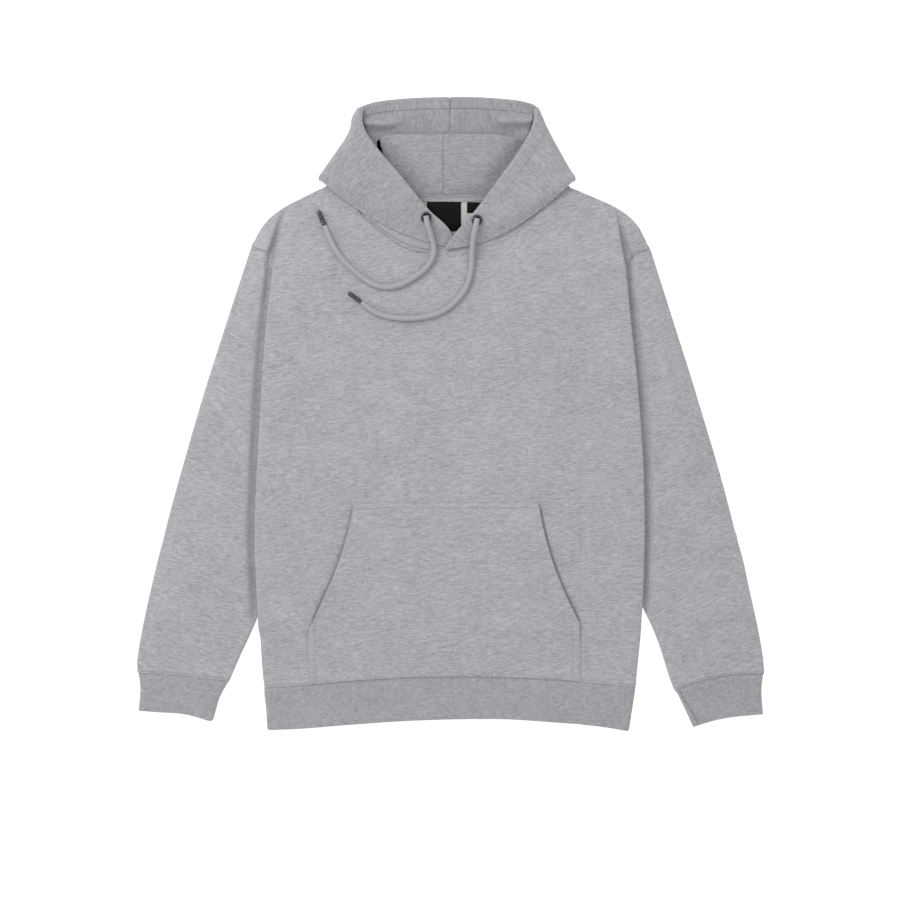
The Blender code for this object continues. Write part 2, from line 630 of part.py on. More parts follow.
def level_top(x, y):
    return BODY_TOP + 0 * x


def ribbed_tube(name, face, count, material, flip):
    """A tube with knitted ribs raised over its upper layer."""
    shares = np.linspace(0, 1, 2 * count + 1)
    raised = np.zeros(face.shape[:2])
    raised[:, :2 * count + 1] = RIB_RISE * 0.5 * (1 - np.cos(2 * pi * count * shares))
    if flip:
        face, raised = face[:, ::-1], raised[:, ::-1]
    return cloth(name, face[::-1], RIB_WALL, material, closed=True, raised=raised[::-1])


def make_cuff(side, material):
    rows = CUFF_LEFT if side == "left" else CUFF_RIGHT
    face = tube(rows, np.arange(3), level_top, over=2 * CUFF_RIBS, under=10)
    return ribbed_tube("cuff_" + side, face, CUFF_RIBS, material, flip=side == "right")


def make_hem(material):
    """The hem's rib, a flattened tube round the whole body."""
    face = tube(HEM_SIDES, np.arange(2), level_top, over=2 * HEM_RIBS, under=24)
    face[0, :, 1] = hem_seam(face[0, :, 0]) - SEAM / 2
    face[1, :, 1] = smooth(face[1, :, 0], HEM_EDGE["x"], HEM_EDGE["y"])
    return ribbed_tube("hem_rib", face, HEM_RIBS, material, flip=False)


def make_pocket(material):
    """The pocket, laid on the front and open along its slanted sides."""
    def side(rows):
        line = points(rows, "x", "y")
        shares = lengths(line)
        return lambda share: smooth(share, shares, line)

    left, right = side(POCKET_LEFT), side(POCKET_RIGHT)
    (start, low), (end, high) = left(np.arange(2)), right(np.arange(2))

    def bottom(share):
        x = start[0] + (end[0] - start[0]) * share
        return np.stack([x, hem_seam(x) + POCKET_LIFT], axis=-1)

    def upper(share):
        return low + (high - low) * share[:, None]

    across, along = np.linspace(0, 1, 15), np.linspace(0, 1, 12)
    plan = patch(bottom, upper, left, right, across, along)
    u, v = np.meshgrid(across, along)
    puff = POCKET_PUFF * np.sqrt(4 * v * (1 - v)) * step(v / 0.3)
    height = front_top(plan[..., 0], plan[..., 1]) + LAY + FLEECE + puff
    face = np.concatenate([plan, height[..., None]], axis=-1)
    return cloth("pocket", face, FLEECE, material, upright=1.0)


def make_hood_side(side, material):
    """One side of the hood: over the front, round its outline, and behind to the crown."""
    rows = HOOD_LEFT if side == "left" else HOOD_RIGHT
    neck = NECK_ROW_LEFT if side == "left" else NECK_ROW_RIGHT
    sections = np.concatenate([[0, 0.04, 0.09, 0.15], np.linspace(0.22, 0.9, 9), [0.95, 1]])
    flap, behind = np.linspace(0, 1, 9), np.linspace(0, 1, 8)
    at = {name: smooth(sections, rows["share"], rows[name]) for name in rows}
    opening, fold = points(at, "open_x", "open_y"), points(at, "fold_x", "fold_y")
    neck_line = smooth(flap, neck["share"], points(neck, "x", "y"))
    bend = neck_line - (neck_line[0] + flap[:, None] * (neck_line[-1] - neck_line[0]))
    centre = CROWN_SEAM + outward(side) * SEAM / 2
    # Which way each section leads as it reaches its fold: between its own and square to it
    bent = 1 - step(sections / 0.3)[:, None]
    own = unit(fold - opening + bent * (bend[-1] - bend[-2]) / (flap[-1] - flap[-2]))
    along_fold = np.gradient(fold, axis=0)
    square = unit(np.stack([-along_fold[:, 1], along_fold[:, 0]], axis=-1)) * -outward(side)
    way = unit(own + square)
    face = []
    for i, share in enumerate(sections):
        low, high = at["low"][i], at["high"][i]
        reach = min((high - low) * 0.6, 0.45 * np.linalg.norm(fold[i] - opening[i]))
        start = fold[i] - way[i] * reach
        line = opening[i] + flap[:, None] * (start - opening[i]) + bent[i] * bend
        tops = high + (at["open_z"][i] - high) * (1 - flap) ** 2
        neck_top = smooth(flap, neck["share"], neck["top"])
        tops = neck_top + step(share / 0.13) * (tops - neck_top)
        middle, half = (tops[-1] + low) / 2, (tops[-1] - low) / 2
        over = np.column_stack([line, tops])
        turn = np.column_stack([start + way[i] * reach * np.sin(BEND)[:, None],
                                middle + half * np.cos(BEND)])
        end = np.array([centre, at["back_y"][i]])
        under = start + (end - start) * behind[:, None]
        under[:, 1] += CROWN_BOW * share ** 6 * np.sin(pi * behind ** 0.7)
        settled = low * (1 - step((behind - BEHIND_DROP[0]) / BEHIND_DROP[1]))
        face.append(np.concatenate([over, turn, np.column_stack([under, settled])]))
    face = np.array(face)
    if side == "left":
        face = face[:, ::-1]
    return cloth("hood_" + side, face, FLEECE, material, floor=0.0)


def make_hood_back(side, material):
    """The hood's back from the neck seam up to its fold, and under behind it."""
    rows = HOOD_BACK_LEFT if side == "left" else HOOD_BACK_RIGHT
    shares = np.linspace(0, 1, 10)
    neck = back_neck(smooth(shares, rows["share"], rows["neck"])) + (0, SEAM / 2)
    neck[-1, 0] = rows["fold_x"][-1]
    fold = smooth(shares, rows["share"], points(rows, "fold_x", "fold_y"))
    climb = np.array([0, 0.09, 0.18, 0.42, 0.7, 1])
    height = smooth(climb, HOOD_BACK_RISE["share"], HOOD_BACK_RISE["height"])
    turn = np.radians([36, 72, 108, 144, 180])
    face = []
    for start, end in zip(neck, fold):
        way = unit(end - start)
        reach = np.linalg.norm(end - start) - HOOD_FOLD
        under = reach - min(HOOD_RETURN, 0.5 * reach) * np.array([0.5, 1])
        travel = np.concatenate([climb * reach, reach + HOOD_FOLD * np.sin(turn), under])
        heights = np.concatenate([height, height[-1] - HOOD_FOLD * (1 - np.cos(turn)),
                                  np.full(2, height[-1] - 2 * HOOD_FOLD)])
        face.append(np.column_stack([start + way * travel[:, None], heights]))
    face = np.array(face).transpose(1, 0, 2)
    if side == "right":
        face = face[:, ::-1]
    return cloth("hood_back_" + side, face, FLEECE, material)


def make_neck_tape(material):
    """The tape over the back neck seam."""
    seam = back_neck(np.linspace(*TAPE_SHARES, 15))
    across = np.linspace(-0.58, 0.42, 5)[:, None] * TAPE_WIDTH
    rise = FLEECE + LAY + TAPE + np.maximum(0, across + 0.6) * 0.5
    place = seam[None] + np.stack([0 * across, across], axis=-1)
    face = np.concatenate([place, np.broadcast_to(rise[..., None], place.shape[:2] + (1,))], axis=-1)
    return cloth("neck_tape", face, TAPE, material)


def make_label(name, place, material):
    """A woven label that hangs from the tape, on the inside of the back."""
    xs = np.linspace(place["left"], place["right"], 7)
    x, y = np.meshgrid(xs, np.linspace(place["bottom"], place["top"], 5))
    width = xs[-1] - xs[0]
    rise = FLEECE + LAY + TAPE + LABEL_BOW * width * np.sin(pi * (x - xs[0]) / width)
    return cloth(name, np.stack([x, y, rise], axis=-1), TAPE, material)


def make_eyelet(side, place, material):
    """A rolled metal eyelet on the edge of the hood."""
    mesh = bmesh.new()
    roll = (EYELET_OUTER - EYELET_HOLE) / 4
    ring = []
    for angle in np.linspace(0, 2 * pi, 8, endpoint=False):
        ring.append(mesh.verts.new((EYELET_OUTER / 2 - roll + roll * cos(angle), 0,
                                    EYELET_HEIGHT / 2 * (1 + sin(angle)))))
    edges = [mesh.edges.new((ring[k - 1], ring[k])) for k in range(len(ring))]
    bmesh.ops.spin(mesh, geom=ring + edges, cent=(0, 0, 0), axis=(0, 0, 1), angle=2 * pi,
                   steps=16, use_merge=True)
    bmesh.ops.recalc_face_normals(mesh, faces=mesh.faces)
    mesh.transform(Matrix.Scale(MM, 4))
    thing = finish("eyelet_" + side, mesh, material)
    thing.location = Vector(place) * MM


def make_cord(side, route, cord_material, tip_material):
    """A drawcord along a smooth curve through its route, with its metal tip in line."""
    route = points(route, "x", "y", "z")
    way = smooth(np.linspace(0, 1, CORD_POINTS), lengths(route), route)
    way[:, 2] = np.maximum(way[:, 2], front_top(way[:, 0], way[:, 1]) + CORD / 2 + LAY)
    data = bpy.data.curves.new("drawcord_" + side, "CURVE")
    data.dimensions = "3D"
    data.bevel_depth = CORD / 2 * MM
    data.bevel_resolution = 2
    data.use_fill_caps = True
    line = data.splines.new("POLY")
    line.points.add(CORD_POINTS - 1)
    for point, place in zip(line.points, way):
        point.co = (*(place * MM), 1)
    data.materials.append(cord_material)
    cord = bpy.data.objects.new("drawcord_" + side, data)
    bpy.context.scene.collection.objects.link(cord)

    mesh = bmesh.new()
    bmesh.ops.create_cone(mesh, cap_ends=True, segments=16, radius1=AGLET / 2 * MM,
                          radius2=AGLET / 2 * MM, depth=AGLET_LENGTH * MM)
    tip = finish("aglet_" + side, mesh, tip_material)
    ahead = Vector(way[-1] - way[-2]).normalized()
    tip.rotation_euler = ahead.to_track_quat("Z", "Y").to_euler()
    tip.location = (Vector(way[-1]) + ahead * (AGLET_LENGTH / 2 + SEAM)) * MM


def main():
    for leftover in list(bpy.data.objects):
        bpy.data.objects.remove(leftover, do_unlink=True)
    fleece = finish_material("grey marl fleece", (0.42, 0.41, 0.44), 0.95)
    rib = finish_material("grey marl rib", (0.36, 0.35, 0.38), 0.95)
    tape = finish_material("grey neck tape", (0.36, 0.36, 0.38), 0.9)
    label = finish_material("black woven label", (0.008, 0.008, 0.009), 0.7)
    cord = finish_material("grey cord", (0.42, 0.41, 0.44), 0.9)
    gunmetal = finish_material("gunmetal", (0.09, 0.09, 0.10), 0.35, 1.0)

    make_front(fleece)
    make_back(fleece)
    make_pocket(fleece)
    make_hem(rib)
    for side in ("left", "right"):
        make_sleeve(side, fleece)
        make_cuff(side, rib)
        make_hood_side(side, fleece)
        make_hood_back(side, fleece)
    make_neck_tape(tape)
    make_label("neck_label", NECK_LABEL, label)
    make_label("size_label", SIZE_LABEL, label)
    make_eyelet("left", EYELET_LEFT, gunmetal)
    make_eyelet("right", EYELET_RIGHT, gunmetal)
    make_cord("left", CORD_LEFT, cord, gunmetal)
    make_cord("right", CORD_RIGHT, cord, gunmetal)


main()
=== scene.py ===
"""Looks of a pullover hoodie that lies flat on a table, front up, with its hood open.

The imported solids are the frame. Each cloth piece is a finer copy of its solid, with
its cut edges rounded, soft creases pressed in and stitches sewn on. The cords, their
tips and the eyelets are modelled in full. Sizes here are millimetres, turned into
metres by MM. X runs across the garment, Y from the hem to the hood and Z up from the
table, and "left" is the side at -X.
"""
from math import pi, radians

import bmesh
import bpy
import numpy as np
from mathutils import Matrix, Vector
from mathutils.bvhtree import BVHTree


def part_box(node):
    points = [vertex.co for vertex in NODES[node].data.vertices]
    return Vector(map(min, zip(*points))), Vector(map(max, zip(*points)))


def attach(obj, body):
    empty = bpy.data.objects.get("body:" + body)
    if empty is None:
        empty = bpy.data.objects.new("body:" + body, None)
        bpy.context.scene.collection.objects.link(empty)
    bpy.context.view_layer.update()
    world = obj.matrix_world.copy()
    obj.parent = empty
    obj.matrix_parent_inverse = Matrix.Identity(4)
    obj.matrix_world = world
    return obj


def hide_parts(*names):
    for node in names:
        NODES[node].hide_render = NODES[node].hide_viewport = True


bl_info = {
    "name": "Pullover Hoodie",
    "version": (1, 0, 0),
    "blender": (4, 5, 0),
    "location": "View3D > Sidebar > Hoodie",
    "description": "Builds the cloth, trim and studio of a pullover hoodie laid flat",
    "category": "Object",
}

MM = 0.001
SIDES = ("left", "right")
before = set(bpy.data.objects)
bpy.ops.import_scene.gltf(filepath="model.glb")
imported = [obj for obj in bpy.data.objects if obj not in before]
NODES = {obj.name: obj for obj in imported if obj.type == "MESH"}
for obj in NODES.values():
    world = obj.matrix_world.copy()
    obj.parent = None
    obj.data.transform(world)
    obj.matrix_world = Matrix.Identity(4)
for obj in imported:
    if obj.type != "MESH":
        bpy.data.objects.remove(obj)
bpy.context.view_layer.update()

# How the solids become cloth
CUT_ANGLE = radians(50)     # a sharper edge is a cut edge of the cloth
LAYER = 3.2                 # depth under the face that shows which still moves with it

# Seams and edges, as they lie. A seam that shows on both sides is named for each.
HEM_SEAM = ((-245, -348.2), (-236, -347.6), (-179, -344.4), (-120, -339.2), (-44, -334.9),
            (10, -334.3), (92, -336), (163, -340.2), (234.5, -347.2), (243, -348))
ARMHOLE_SEAM = {
    "left": ((-262, 214.6), (-254, 213), (-248.7, 211.4), (-241, 207.6), (-235, 204),
             (-229, 199.6)),
    "right": ((262, 212.5), (252, 209.3), (242, 204.9), (236.7, 202.2), (231, 198.6), (226, 191))}
CUFF_JOIN = {
    "left": ((-403, -328), (-397.5, -328.4), (-360, -331), (-320, -334.6), (-281, -339.4),
             (-275, -340.3)),
    "right": ((403, -330), (397.3, -330.2), (372, -330.6), (340, -334.4), (312, -341),
              (285, -350.4), (279, -352.6))}
CROWN_JOIN = ((-1, 345), (-1, 410))
BACK_JOIN = ((-9.6, 270), (-9.6, 362))
# The body's folded sides, crisp on the body's own side, and the sleeves' outlines
FOLD = {
    "left": ((-204.5, 264), (-210, 250), (-214, 238), (-218.2, 220), (-222.2, 203), (-225, 185),
             (-227.6, 167), (-232, 132), (-236, 96), (-238.5, 60), (-241.5, 16), (-243.5, -20),
             (-245.5, -55), (-247.5, -100), (-249.5, -135), (-250, -160), (-248.5, -190),
             (-247, -225), (-245.5, -260)),
    "right": ((204, 266), (209.4, 256.5), (212.8, 238), (215.6, 220), (218.9, 203), (224, 167),
              (227.8, 132), (231.5, 96), (236, 60), (240, 16), (243, -20), (245, -55),
              (246.5, -100), (247, -135), (246, -180), (245, -225), (243.5, -260))}
SHOULDER = {
    "left": ((-146, 294), (-158.8, 288), (-173.3, 281.1), (-196.5, 269.5), (-212.5, 260.7),
             (-224.1, 253), (-234.8, 242.3), (-243.6, 229.9), (-248.1, 220)),
    "right": ((140, 292), (150.4, 287.5), (170.9, 279), (185.9, 272.7), (203.7, 264.5),
              (221.6, 253.9), (230.5, 245.9), (238.5, 237), (244.7, 225.4))}
BODY_SIDE = {
    "left": ((-242, -272), (-240.5, -298.1), (-238.7, -328), (-236.9, -345.8), (-236.2, -358.8),
             (-234, -379.1), (-233, -397), (-232.4, -406)),
    "right": ((242.2, -268), (240.9, -279.3), (238.7, -302.5), (236.5, -323), (234.6, -345.6),
              (232.1, -363.7), (227.8, -390), (225.6, -406))}
SLEEVE_END = {
    "left": ((-362.2, -150), (-371.7, -185.9), (-379.4, -218), (-388.4, -258.8), (-395, -292.3),
             (-398.3, -320), (-397.1, -329.5), (-394.6, -338), (-394.2, -352), (-395.7, -369.6),
             (-397.6, -386)),
    "right": ((360.4, -148), (371.0, -185.9), (379.4, -225.3), (388.2, -264.7), (394.7, -299.6),
              (397.7, -323), (397.3, -331.7), (394.8, -340), (394.4, -353.6), (395.8, -375.4),
              (396.6, -391))}
SLEEVE_INNER = {
    "left": ((-239.5, -245), (-244.2, -256.6), (-251.5, -274.1), (-269.1, -312.2),
             (-279.6, -335.4), (-286.8, -348.6), (-291.9, -357.3), (-297.7, -376.3),
             (-303, -396.4)),
    "right": ((239, -235), (242.7, -244.8), (249.9, -259.3), (261.8, -287.1), (272.7, -320.6),
              (283.8, -351.3), (289.5, -360), (301.4, -384.9), (309.6, -404))}
CUFF_END = {
    "left": ((-297, -392), (-305.4, -390), (-311.1, -389.3), (-325.7, -384.2), (-338.8, -381),
             (-352, -380.1), (-396.8, -376.9), (-406, -376.2)),
    "right": ((300, -400.5), (307.9, -397.6), (321.8, -392.6), (348, -386.4), (362.6, -384.2),
              (396.1, -381.5), (405, -380.8))}
HEM_END = ((150, -392.6), (170, -394.9), (195.1, -397.8), (212.7, -400.7), (222.3, -402.6),
           (232, -404.5))
HOOD_EDGE = {
    "left": ((-173.4, 290.0), (-168.5, 297.6), (-157.8, 313.6), (-135.4, 346.9), (-128.9, 358),
             (-127.4, 366.5), (-123.8, 379.1), (-120.2, 385.3), (-114, 389.8), (-105, 393.1),
             (-94.3, 395.5), (-80.1, 397.5), (-60.5, 399.3), (-33.7, 400.7), (-1.7, 401.4),
             (8, 401.5)),
    "right": ((165, 288.8), (159.9, 296.2), (155.1, 303.3), (139.3, 330.7), (129.9, 347.5),
              (121.9, 363.8), (116.5, 376.8), (114.1, 382.5), (111.3, 387.4), (106.8, 391.4),
              (98, 394.8), (87.4, 396.7), (75.2, 398.5), (51.8, 400.2), (28.6, 401.4),
              (-1.7, 401.4), (-11, 401.3))}
POCKET_EDGES = (
    ((-124.5, -104), (-123.6, -116), (-123.6, -124), (-129.9, -150.5), (-137.6, -176.7),
     (-146.9, -202.8), (-159.2, -230.5), (-174.6, -264.4), (-179.5, -275)),
    ((-180.6, -264), (-181.6, -284.4), (-180.7, -312.2), (-179.1, -338.3), (-178.6, -348)),
    ((112, -104), (111.5, -114), (112.3, -121.3), (117.3, -145.9), (125.5, -176.7),
     (133.3, -199.8), (142.6, -222.9), (161, -261.4), (165.5, -270.5)),
    ((164.2, -260), (164.4, -270), (164.7, -300), (164.7, -348)))
# The lines that the edges of each piece are drawn onto
OUTLINES = {"front": (*SHOULDER.values(), *BODY_SIDE.values()), "back": SHOULDER.values(),
            "hem_rib": (*BODY_SIDE.values(), HEM_END), "pocket": POCKET_EDGES}
for SIDE in SIDES:
    OUTLINES["sleeve_" + SIDE] = SLEEVE_END[SIDE], SLEEVE_INNER[SIDE]
    OUTLINES["cuff_" + SIDE] = SLEEVE_END[SIDE], SLEEVE_INNER[SIDE], CUFF_END[SIDE]
    OUTLINES["hood_" + SIDE] = HOOD_EDGE[SIDE],
SLEEVE_OUTER = {
    "left": ((-252, 214), (-275.5, 144), (-308, 43), (-338, -59), (-365.5, -160), (-386.5, -250),
             (-397.5, -328)),
    "right": ((252, 212), (274, 144), (306, 43), (337, -59), (363.5, -160), (385, -250),
              (397.3, -330))}
FOLD_TURN = 4.0             # how far in from a folded side the cloth starts to turn
ARMHOLE_LOW = 180.0         # height up the side where the crisp fold starts to end
ARMHOLE_FADE = 12.0         # and the way up over which it gives way to a valley
# Width of the valley's floor beside the body, from the hem up to the shoulder
VALLEY = ((-250, 5.0), (-100, 5.5), (0, 6.5), (100, 6.0), (160, 5.4), (186, 7.0), (200, 8.4),
          (214, 6.6), (230, 5.6), (250, 5.0), (262, 3.4))
VALLEY_FLOOR = 4.7
SLEEVE_SWELL = 4.4          # how far a sleeve's cloth stands up past the valley
OPENING = {
    "left": ((1.5, 222), (-13, 241), (-28, 257), (-60, 297), (-91, 333), (-109, 359),
             (-112.5, 377), (-110.5, 388)),
    "right": ((-9, 207.5), (12, 234), (29, 254), (60, 295.5), (87, 333), (102, 361),
              (106.5, 379), (106, 388))}
CROWN_EDGE = ((-123, 377.5), (-119.7, 384.7), (-113.7, 389.4), (-104.8, 392.8), (-94.2, 395.2),
              (-80, 397.2), (-60.4, 399), (-33.6, 400.4), (-1.7, 401.1), (28.6, 401.1),
              (51.8, 399.9), (75.2, 398.2), (87.3, 396.4), (97.9, 394.5), (106.5, 391.2),
              (111, 387.2), (113.8, 382.4), (115.8, 377.5))
CROWN_RISE = 4.2            # of the crown's cloth towards its casing
CROWN_BELOW = 7.5           # the crown's cloth lies below this height, the flaps above it
CASING = 15.0               # width of the casing along the hood's opening
CASING_ENDS = (-1.3, 401.1), (-0.7, 401.1)  # of the crown's two casings, at their seam
CASING_RINGS = 160          # sections along the crown's casing
FLAP_PROUD = {"left": 3.8, "right": 1.8}    # how far a flap stands up along the opening
# The crown's casing in section: distance in from the edge, and height
CASING_SECTION = ((1.6, 0.1), (0.4, 1.2), (0.0, 3.4), (0.3, 5.8), (1.6, 7.4), (3.4, 8.0),
                  (4.9, 7.7), (6.5, 7.5), (10, 7.3), (13.2, 7.2), (14.3, 6.6), (14.6, 5.4),
                  (12, 3.4), (6, 1.0))
HOOD_GAP = ((-90.5, 358), (-89.3, 351), (-87.8, 344), (-85.4, 334), (-77, 319), (-67, 302))
# Twin rows of stitches below the hood
NECK_ROWS = (
    ((-116.5, 258), (-104.9, 247.3), (-94.2, 238.9), (-73.7, 224.1), (-63, 217.9), (-50.5, 212.1),
     (-38, 208.6), (-24.7, 207.2)),
    ((-113.8, 253.1), (-104.9, 244.7), (-94.2, 235.7), (-75.5, 220.6), (-64.8, 213.9),
     (-54, 208.5), (-41.6, 205), (-27.4, 202.8)),
    ((115.1, 259.3), (99.8, 246.6), (83.6, 233.4), (72, 226.6), (56, 219.4)),
    ((108.3, 250.4), (94.7, 237.6), (80.2, 225.7), (65, 218.1), (52, 213.6)))
POCKET_TOP = ((-121.5, -121.5), (-60, -120), (0, -120), (60, -120), (109, -120))
POCKET_OPENINGS = (
    ((-124.5, -122), (-130.9, -150.5), (-138.6, -176.7), (-147.9, -202.8), (-160.2, -230.5),
     (-174, -262)),
    ((113.3, -121.3), (118.3, -145.9), (126.5, -176.7), (134.3, -199.8), (143.6, -222.9),
     (161, -259)))
POCKET_SIDE = {"left": ((-171.5, -272), (-171, -310), (-170.5, -342)),
               "right": ((154.5, -270), (155, -308), (155.5, -339))}
POCKET_CORNERS = (((-123.5, -119), (-115.5, -119)), ((103, -117.5), (111, -117.5)),
                  ((-182, -272), (-174, -272)), ((155, -270), (163.5, -270)))
CUFF_SEAM = ((290.6, -352), (296, -362), (304, -375), (313.6, -392.5))

# Soft creases: how far the cloth rises, or falls where it is below 0, half the width
# of the crease, and the line that it follows.
FRONT_CREASES = (
    (-2.0, 13, ((116, -104), (128, -130), (146, -160), (172, -198))),
    (0.9, 15, ((148, -96), (166, -134), (190, -172))),
    (-0.9, 22, ((196, -182), (206, -228), (214, -300))),
    (-1.1, 13, ((176, 262), (184, 216), (190, 150), (192, 96))),
    (-1.0, 12, ((-204, 262), (-196, 226), (-196, 180))),
    (-0.6, 30, ((118, 168), (150, 100), (166, 20), (150, -50))),
    (-0.5, 24, ((-186, 60), (-176, -10), (-190, -84))),
    (0.6, 26, ((-130, 150), (-60, 132), (20, 140), (90, 160))),
    (-0.5, 20, ((-110, 30), (-30, 12), (60, 26))),
    (-0.8, 9, ((-205, -300), (-203, -344))),
    (0.6, 10, ((198, -306), (200, -345))),
    (-1.3, 9, ((-92, 222), (-62, 206), (-24, 192))),
    (-1.4, 12, ((130, 252), (96, 226), (52, 202), (20, 196))),
    (0.8, 9, ((16, 190), (20, 160), (34, 120))),
)
POCKET_CREASES = (
    (-0.9, 10, ((-34, -292), (-32, -336))),
    (0.7, 12, ((-10, -268), (-8, -334))),
    (-0.8, 9, ((36, -296), (38, -334))),
    (-0.7, 9, ((88, -300), (92, -335))),
    (0.6, 11, ((64, -286), (62, -336))),
    (-0.7, 10, ((-104, -306), (-106, -339))),
    (-0.5, 26, ((-60, -170), (10, -186), (90, -176))),
    (0.6, 18, ((-120, -196), (-70, -222), (-20, -226))),
)
SLEEVE_CREASES = {
    "left": ((-0.8, 16, ((-270, 150), (-286, 60), (-300, -30))),
             (0.7, 14, ((-300, 60), (-316, -10), (-330, -90))),
             (-0.8, 14, ((-262, -120), (-300, -132), (-344, -128))),
             (-0.7, 10, ((-372, -266), (-340, -276), (-300, -300))),
             (0.7, 12, ((-376, -300), (-330, -306), (-292, -322)))),
    "right": ((-1.0, 18, ((292, 120), (308, 40), (326, -40), (342, -120))),
              (-0.9, 20, ((350, -150), (366, -220), (376, -290))),
              (0.7, 14, ((262, -80), (290, -140), (312, -210))),
              (-0.8, 12, ((292, -300), (330, -296), (372, -306))),
              (0.7, 12, ((286, -326), (330, -316), (380, -322)))),
}
HOOD_CREASES = {
    "left": ((-1.1, 14, ((-146, 300), (-112, 296), (-84, 282))),
             (0.9, 14, ((-132, 332), (-108, 318), (-86, 300))),
             (-0.9, 9, ((-58, 268), (-44, 250), (-40, 236)))),
    "right": ((-1.2, 12, ((116, 344), (108, 316), (88, 292))),
              (0.9, 16, ((138, 316), (112, 292), (88, 268))),
              (-0.9, 10, ((62, 262), (46, 246), (42, 230)))),
}
CROWN_CREASES = (
    (6.6, 5.4, ((-126, 369), (-100, 367.5), (-84, 367), (-70, 369), (-58, 373))),
    (-1.2, 6, ((-106, 358), (-90, 358), (-70, 357))),
    (6.4, 5.8, ((54, 374), (68, 371), (82, 370), (98, 371), (114, 374))),
    (-1.2, 7, ((64, 358), (82, 360), (98, 360))),
    (1.6, 5, ((6, 352), (8, 370), (7, 386))),
    (1.2, 6, ((-40, 354), (-34, 370), (-36, 384))),
    (1.3, 6, ((34, 352), (40, 368), (38, 384))),
)
INSIDE_CREASES = (
    (-0.7, 9, ((-70, 340), (-58, 318), (-44, 300))),
    (0.7, 9, ((-50, 344), (-42, 322), (-34, 306))),
    (-0.8, 9, ((76, 338), (60, 318), (48, 302))),
    (0.8, 8, ((60, 344), (50, 324), (40, 308))),
)
HEM_CREASES = (
    (-0.7, 14, ((-214, -352), (-206, -384))),
    (0.5, 18, ((-120, -346), (-116, -392))),
    (-0.5, 12, ((30, -338), (34, -384))),
    (-0.8, 22, ((168, -348), (186, -384))),
)

# Drawcords from their eyelet over the flap and down onto the front
CORD_ROUTES = {
    "left": ((-31.2, 249.0, 22.9), (-30.6, 244, 23.9), (-29.0, 237.5, 23.2), (-26.8, 231, 21.2),
             (-23.8, 221, 17.0), (-21.0, 208, 13.4), (-24.6, 194, 12.2), (-32.8, 183, 12.2),
             (-46.7, 172.2, 12.2), (-64.5, 162.8, 12.2), (-82.4, 159.8, 12.2),
             (-96.2, 162.6, 12.2), (-109.9, 170.8, 12.3), (-123.6, 181.7, 12.5),
             (-137.8, 196.1, 12.8), (-149.0, 213.2, 13.0), (-156.2, 229.0, 12.8),
             (-159.8, 237.8, 12.6)),
    "right": ((33.3, 245.6, 24.9), (32.6, 240.6, 25.9), (31.0, 234, 25.2), (29.2, 226, 22.2),
              (27.6, 213, 17.0), (26.8, 199, 13.0), (26.0, 184, 12.2), (23.4, 171, 12.2),
              (18.1, 157, 12.2), (8.4, 144.7, 12.2), (-5.3, 132.6, 12.2), (-20.4, 125.3, 12.2),
              (-41.1, 121.2, 12.2), (-61.9, 120.5, 12.2), (-82.4, 123.3, 12.2),
              (-96.2, 128.6, 12.2), (-107.1, 136, 12.3), (-113.2, 140.6, 12.3))}
CORD_LAY = 0.2              # between a cord and the cloth that it lies on
CORD_RESTS = 26             # places along a cord where it is held clear of the cloth
CORD_RINGS = 240            # sections along a cord

# Half sections of the turned metal, as radius and height
# The eyelet's section ends in a disc of plating across its hole, in place of the shade inside the
# hole: painted shade
EYELET_SECTION = ((0, 0.05), (7.0, 0.05), (7.0, 0.5), (6.75, 1.25), (6.2, 1.85), (5.5, 2.15),
                  (4.8, 2.05), (4.2, 1.6), (3.9, 0.95), (3.8, 0.4), (3.6, 0.22), (0, 0.2))
TIP_SECTION = ((0, 0), (2.2, 0), (2.65, 0.35), (2.7, 1.2), (2.7, 2.6), (2.45, 3.1),
               (2.7, 3.6), (2.7, 18.2), (2.5, 19.3), (1.8, 19.9), (0, 20))

OPEN_SEAM = 0.4             # how far the cloth stays clear of an open seam's line
TAPE_SLIP = 2.2             # the tape hangs this far below its seam
# Corners of the labels. The neck label runs down to Y 231.6, some millimetres past its real lower
# edge, so that its black stands in for the shade in the V below it: painted shade
LABELS = {"neck_label": ((-30.2, 231.6), (12.9, 269.0)),
          "size_label": ((20.6, 254.7), (39.6, 268.3))}
# Painted shade: tone factors that make darker copies of the body's fleece for the hood's pieces,
# where the hood lies in shade
PAINTED_SHADES = {"hood_left": 0.89, "hood_right": 0.92, "crown": 0.84, "hood back": 0.85}


# Settings

def size(name, description, millimetres):
    """A length that a user can set."""
    return bpy.props.FloatProperty(name=name, description=description, min=0, precision=4,
                                   default=millimetres * MM, unit="LENGTH")


def colour(name, description, red, green, blue):
    """A colour that a user can set."""
    return bpy.props.FloatVectorProperty(name=name, description=description, subtype="COLOR",
                                         min=0, max=1, default=(red, green, blue))


class HoodieFleece(bpy.types.PropertyGroup):
    """The marl fleece of the body, sleeves, hood and pocket"""
    light: colour("Light fibre", "Colour of the palest fibres", 0.535, 0.528, 0.558)
    dark: colour("Dark fibre", "Colour of the darkest fibres", 0.270, 0.264, 0.284)
    inside: colour("Inside", "Colour of the brushed inside", 0.62, 0.61, 0.60)
    streak_length: size("Streak length", "Length of a streak of the marl", 10.0)
    streak_height: size("Streak height", "Width of a streak of the marl", 2.0)
    grain: size("Grain", "Size of the knit's grain", 1.5)
    nap: size("Nap", "Height of the cloth's surface", 0.3)
    edge: size("Edge", "Rounding of the cut and turned edges", 0.8)


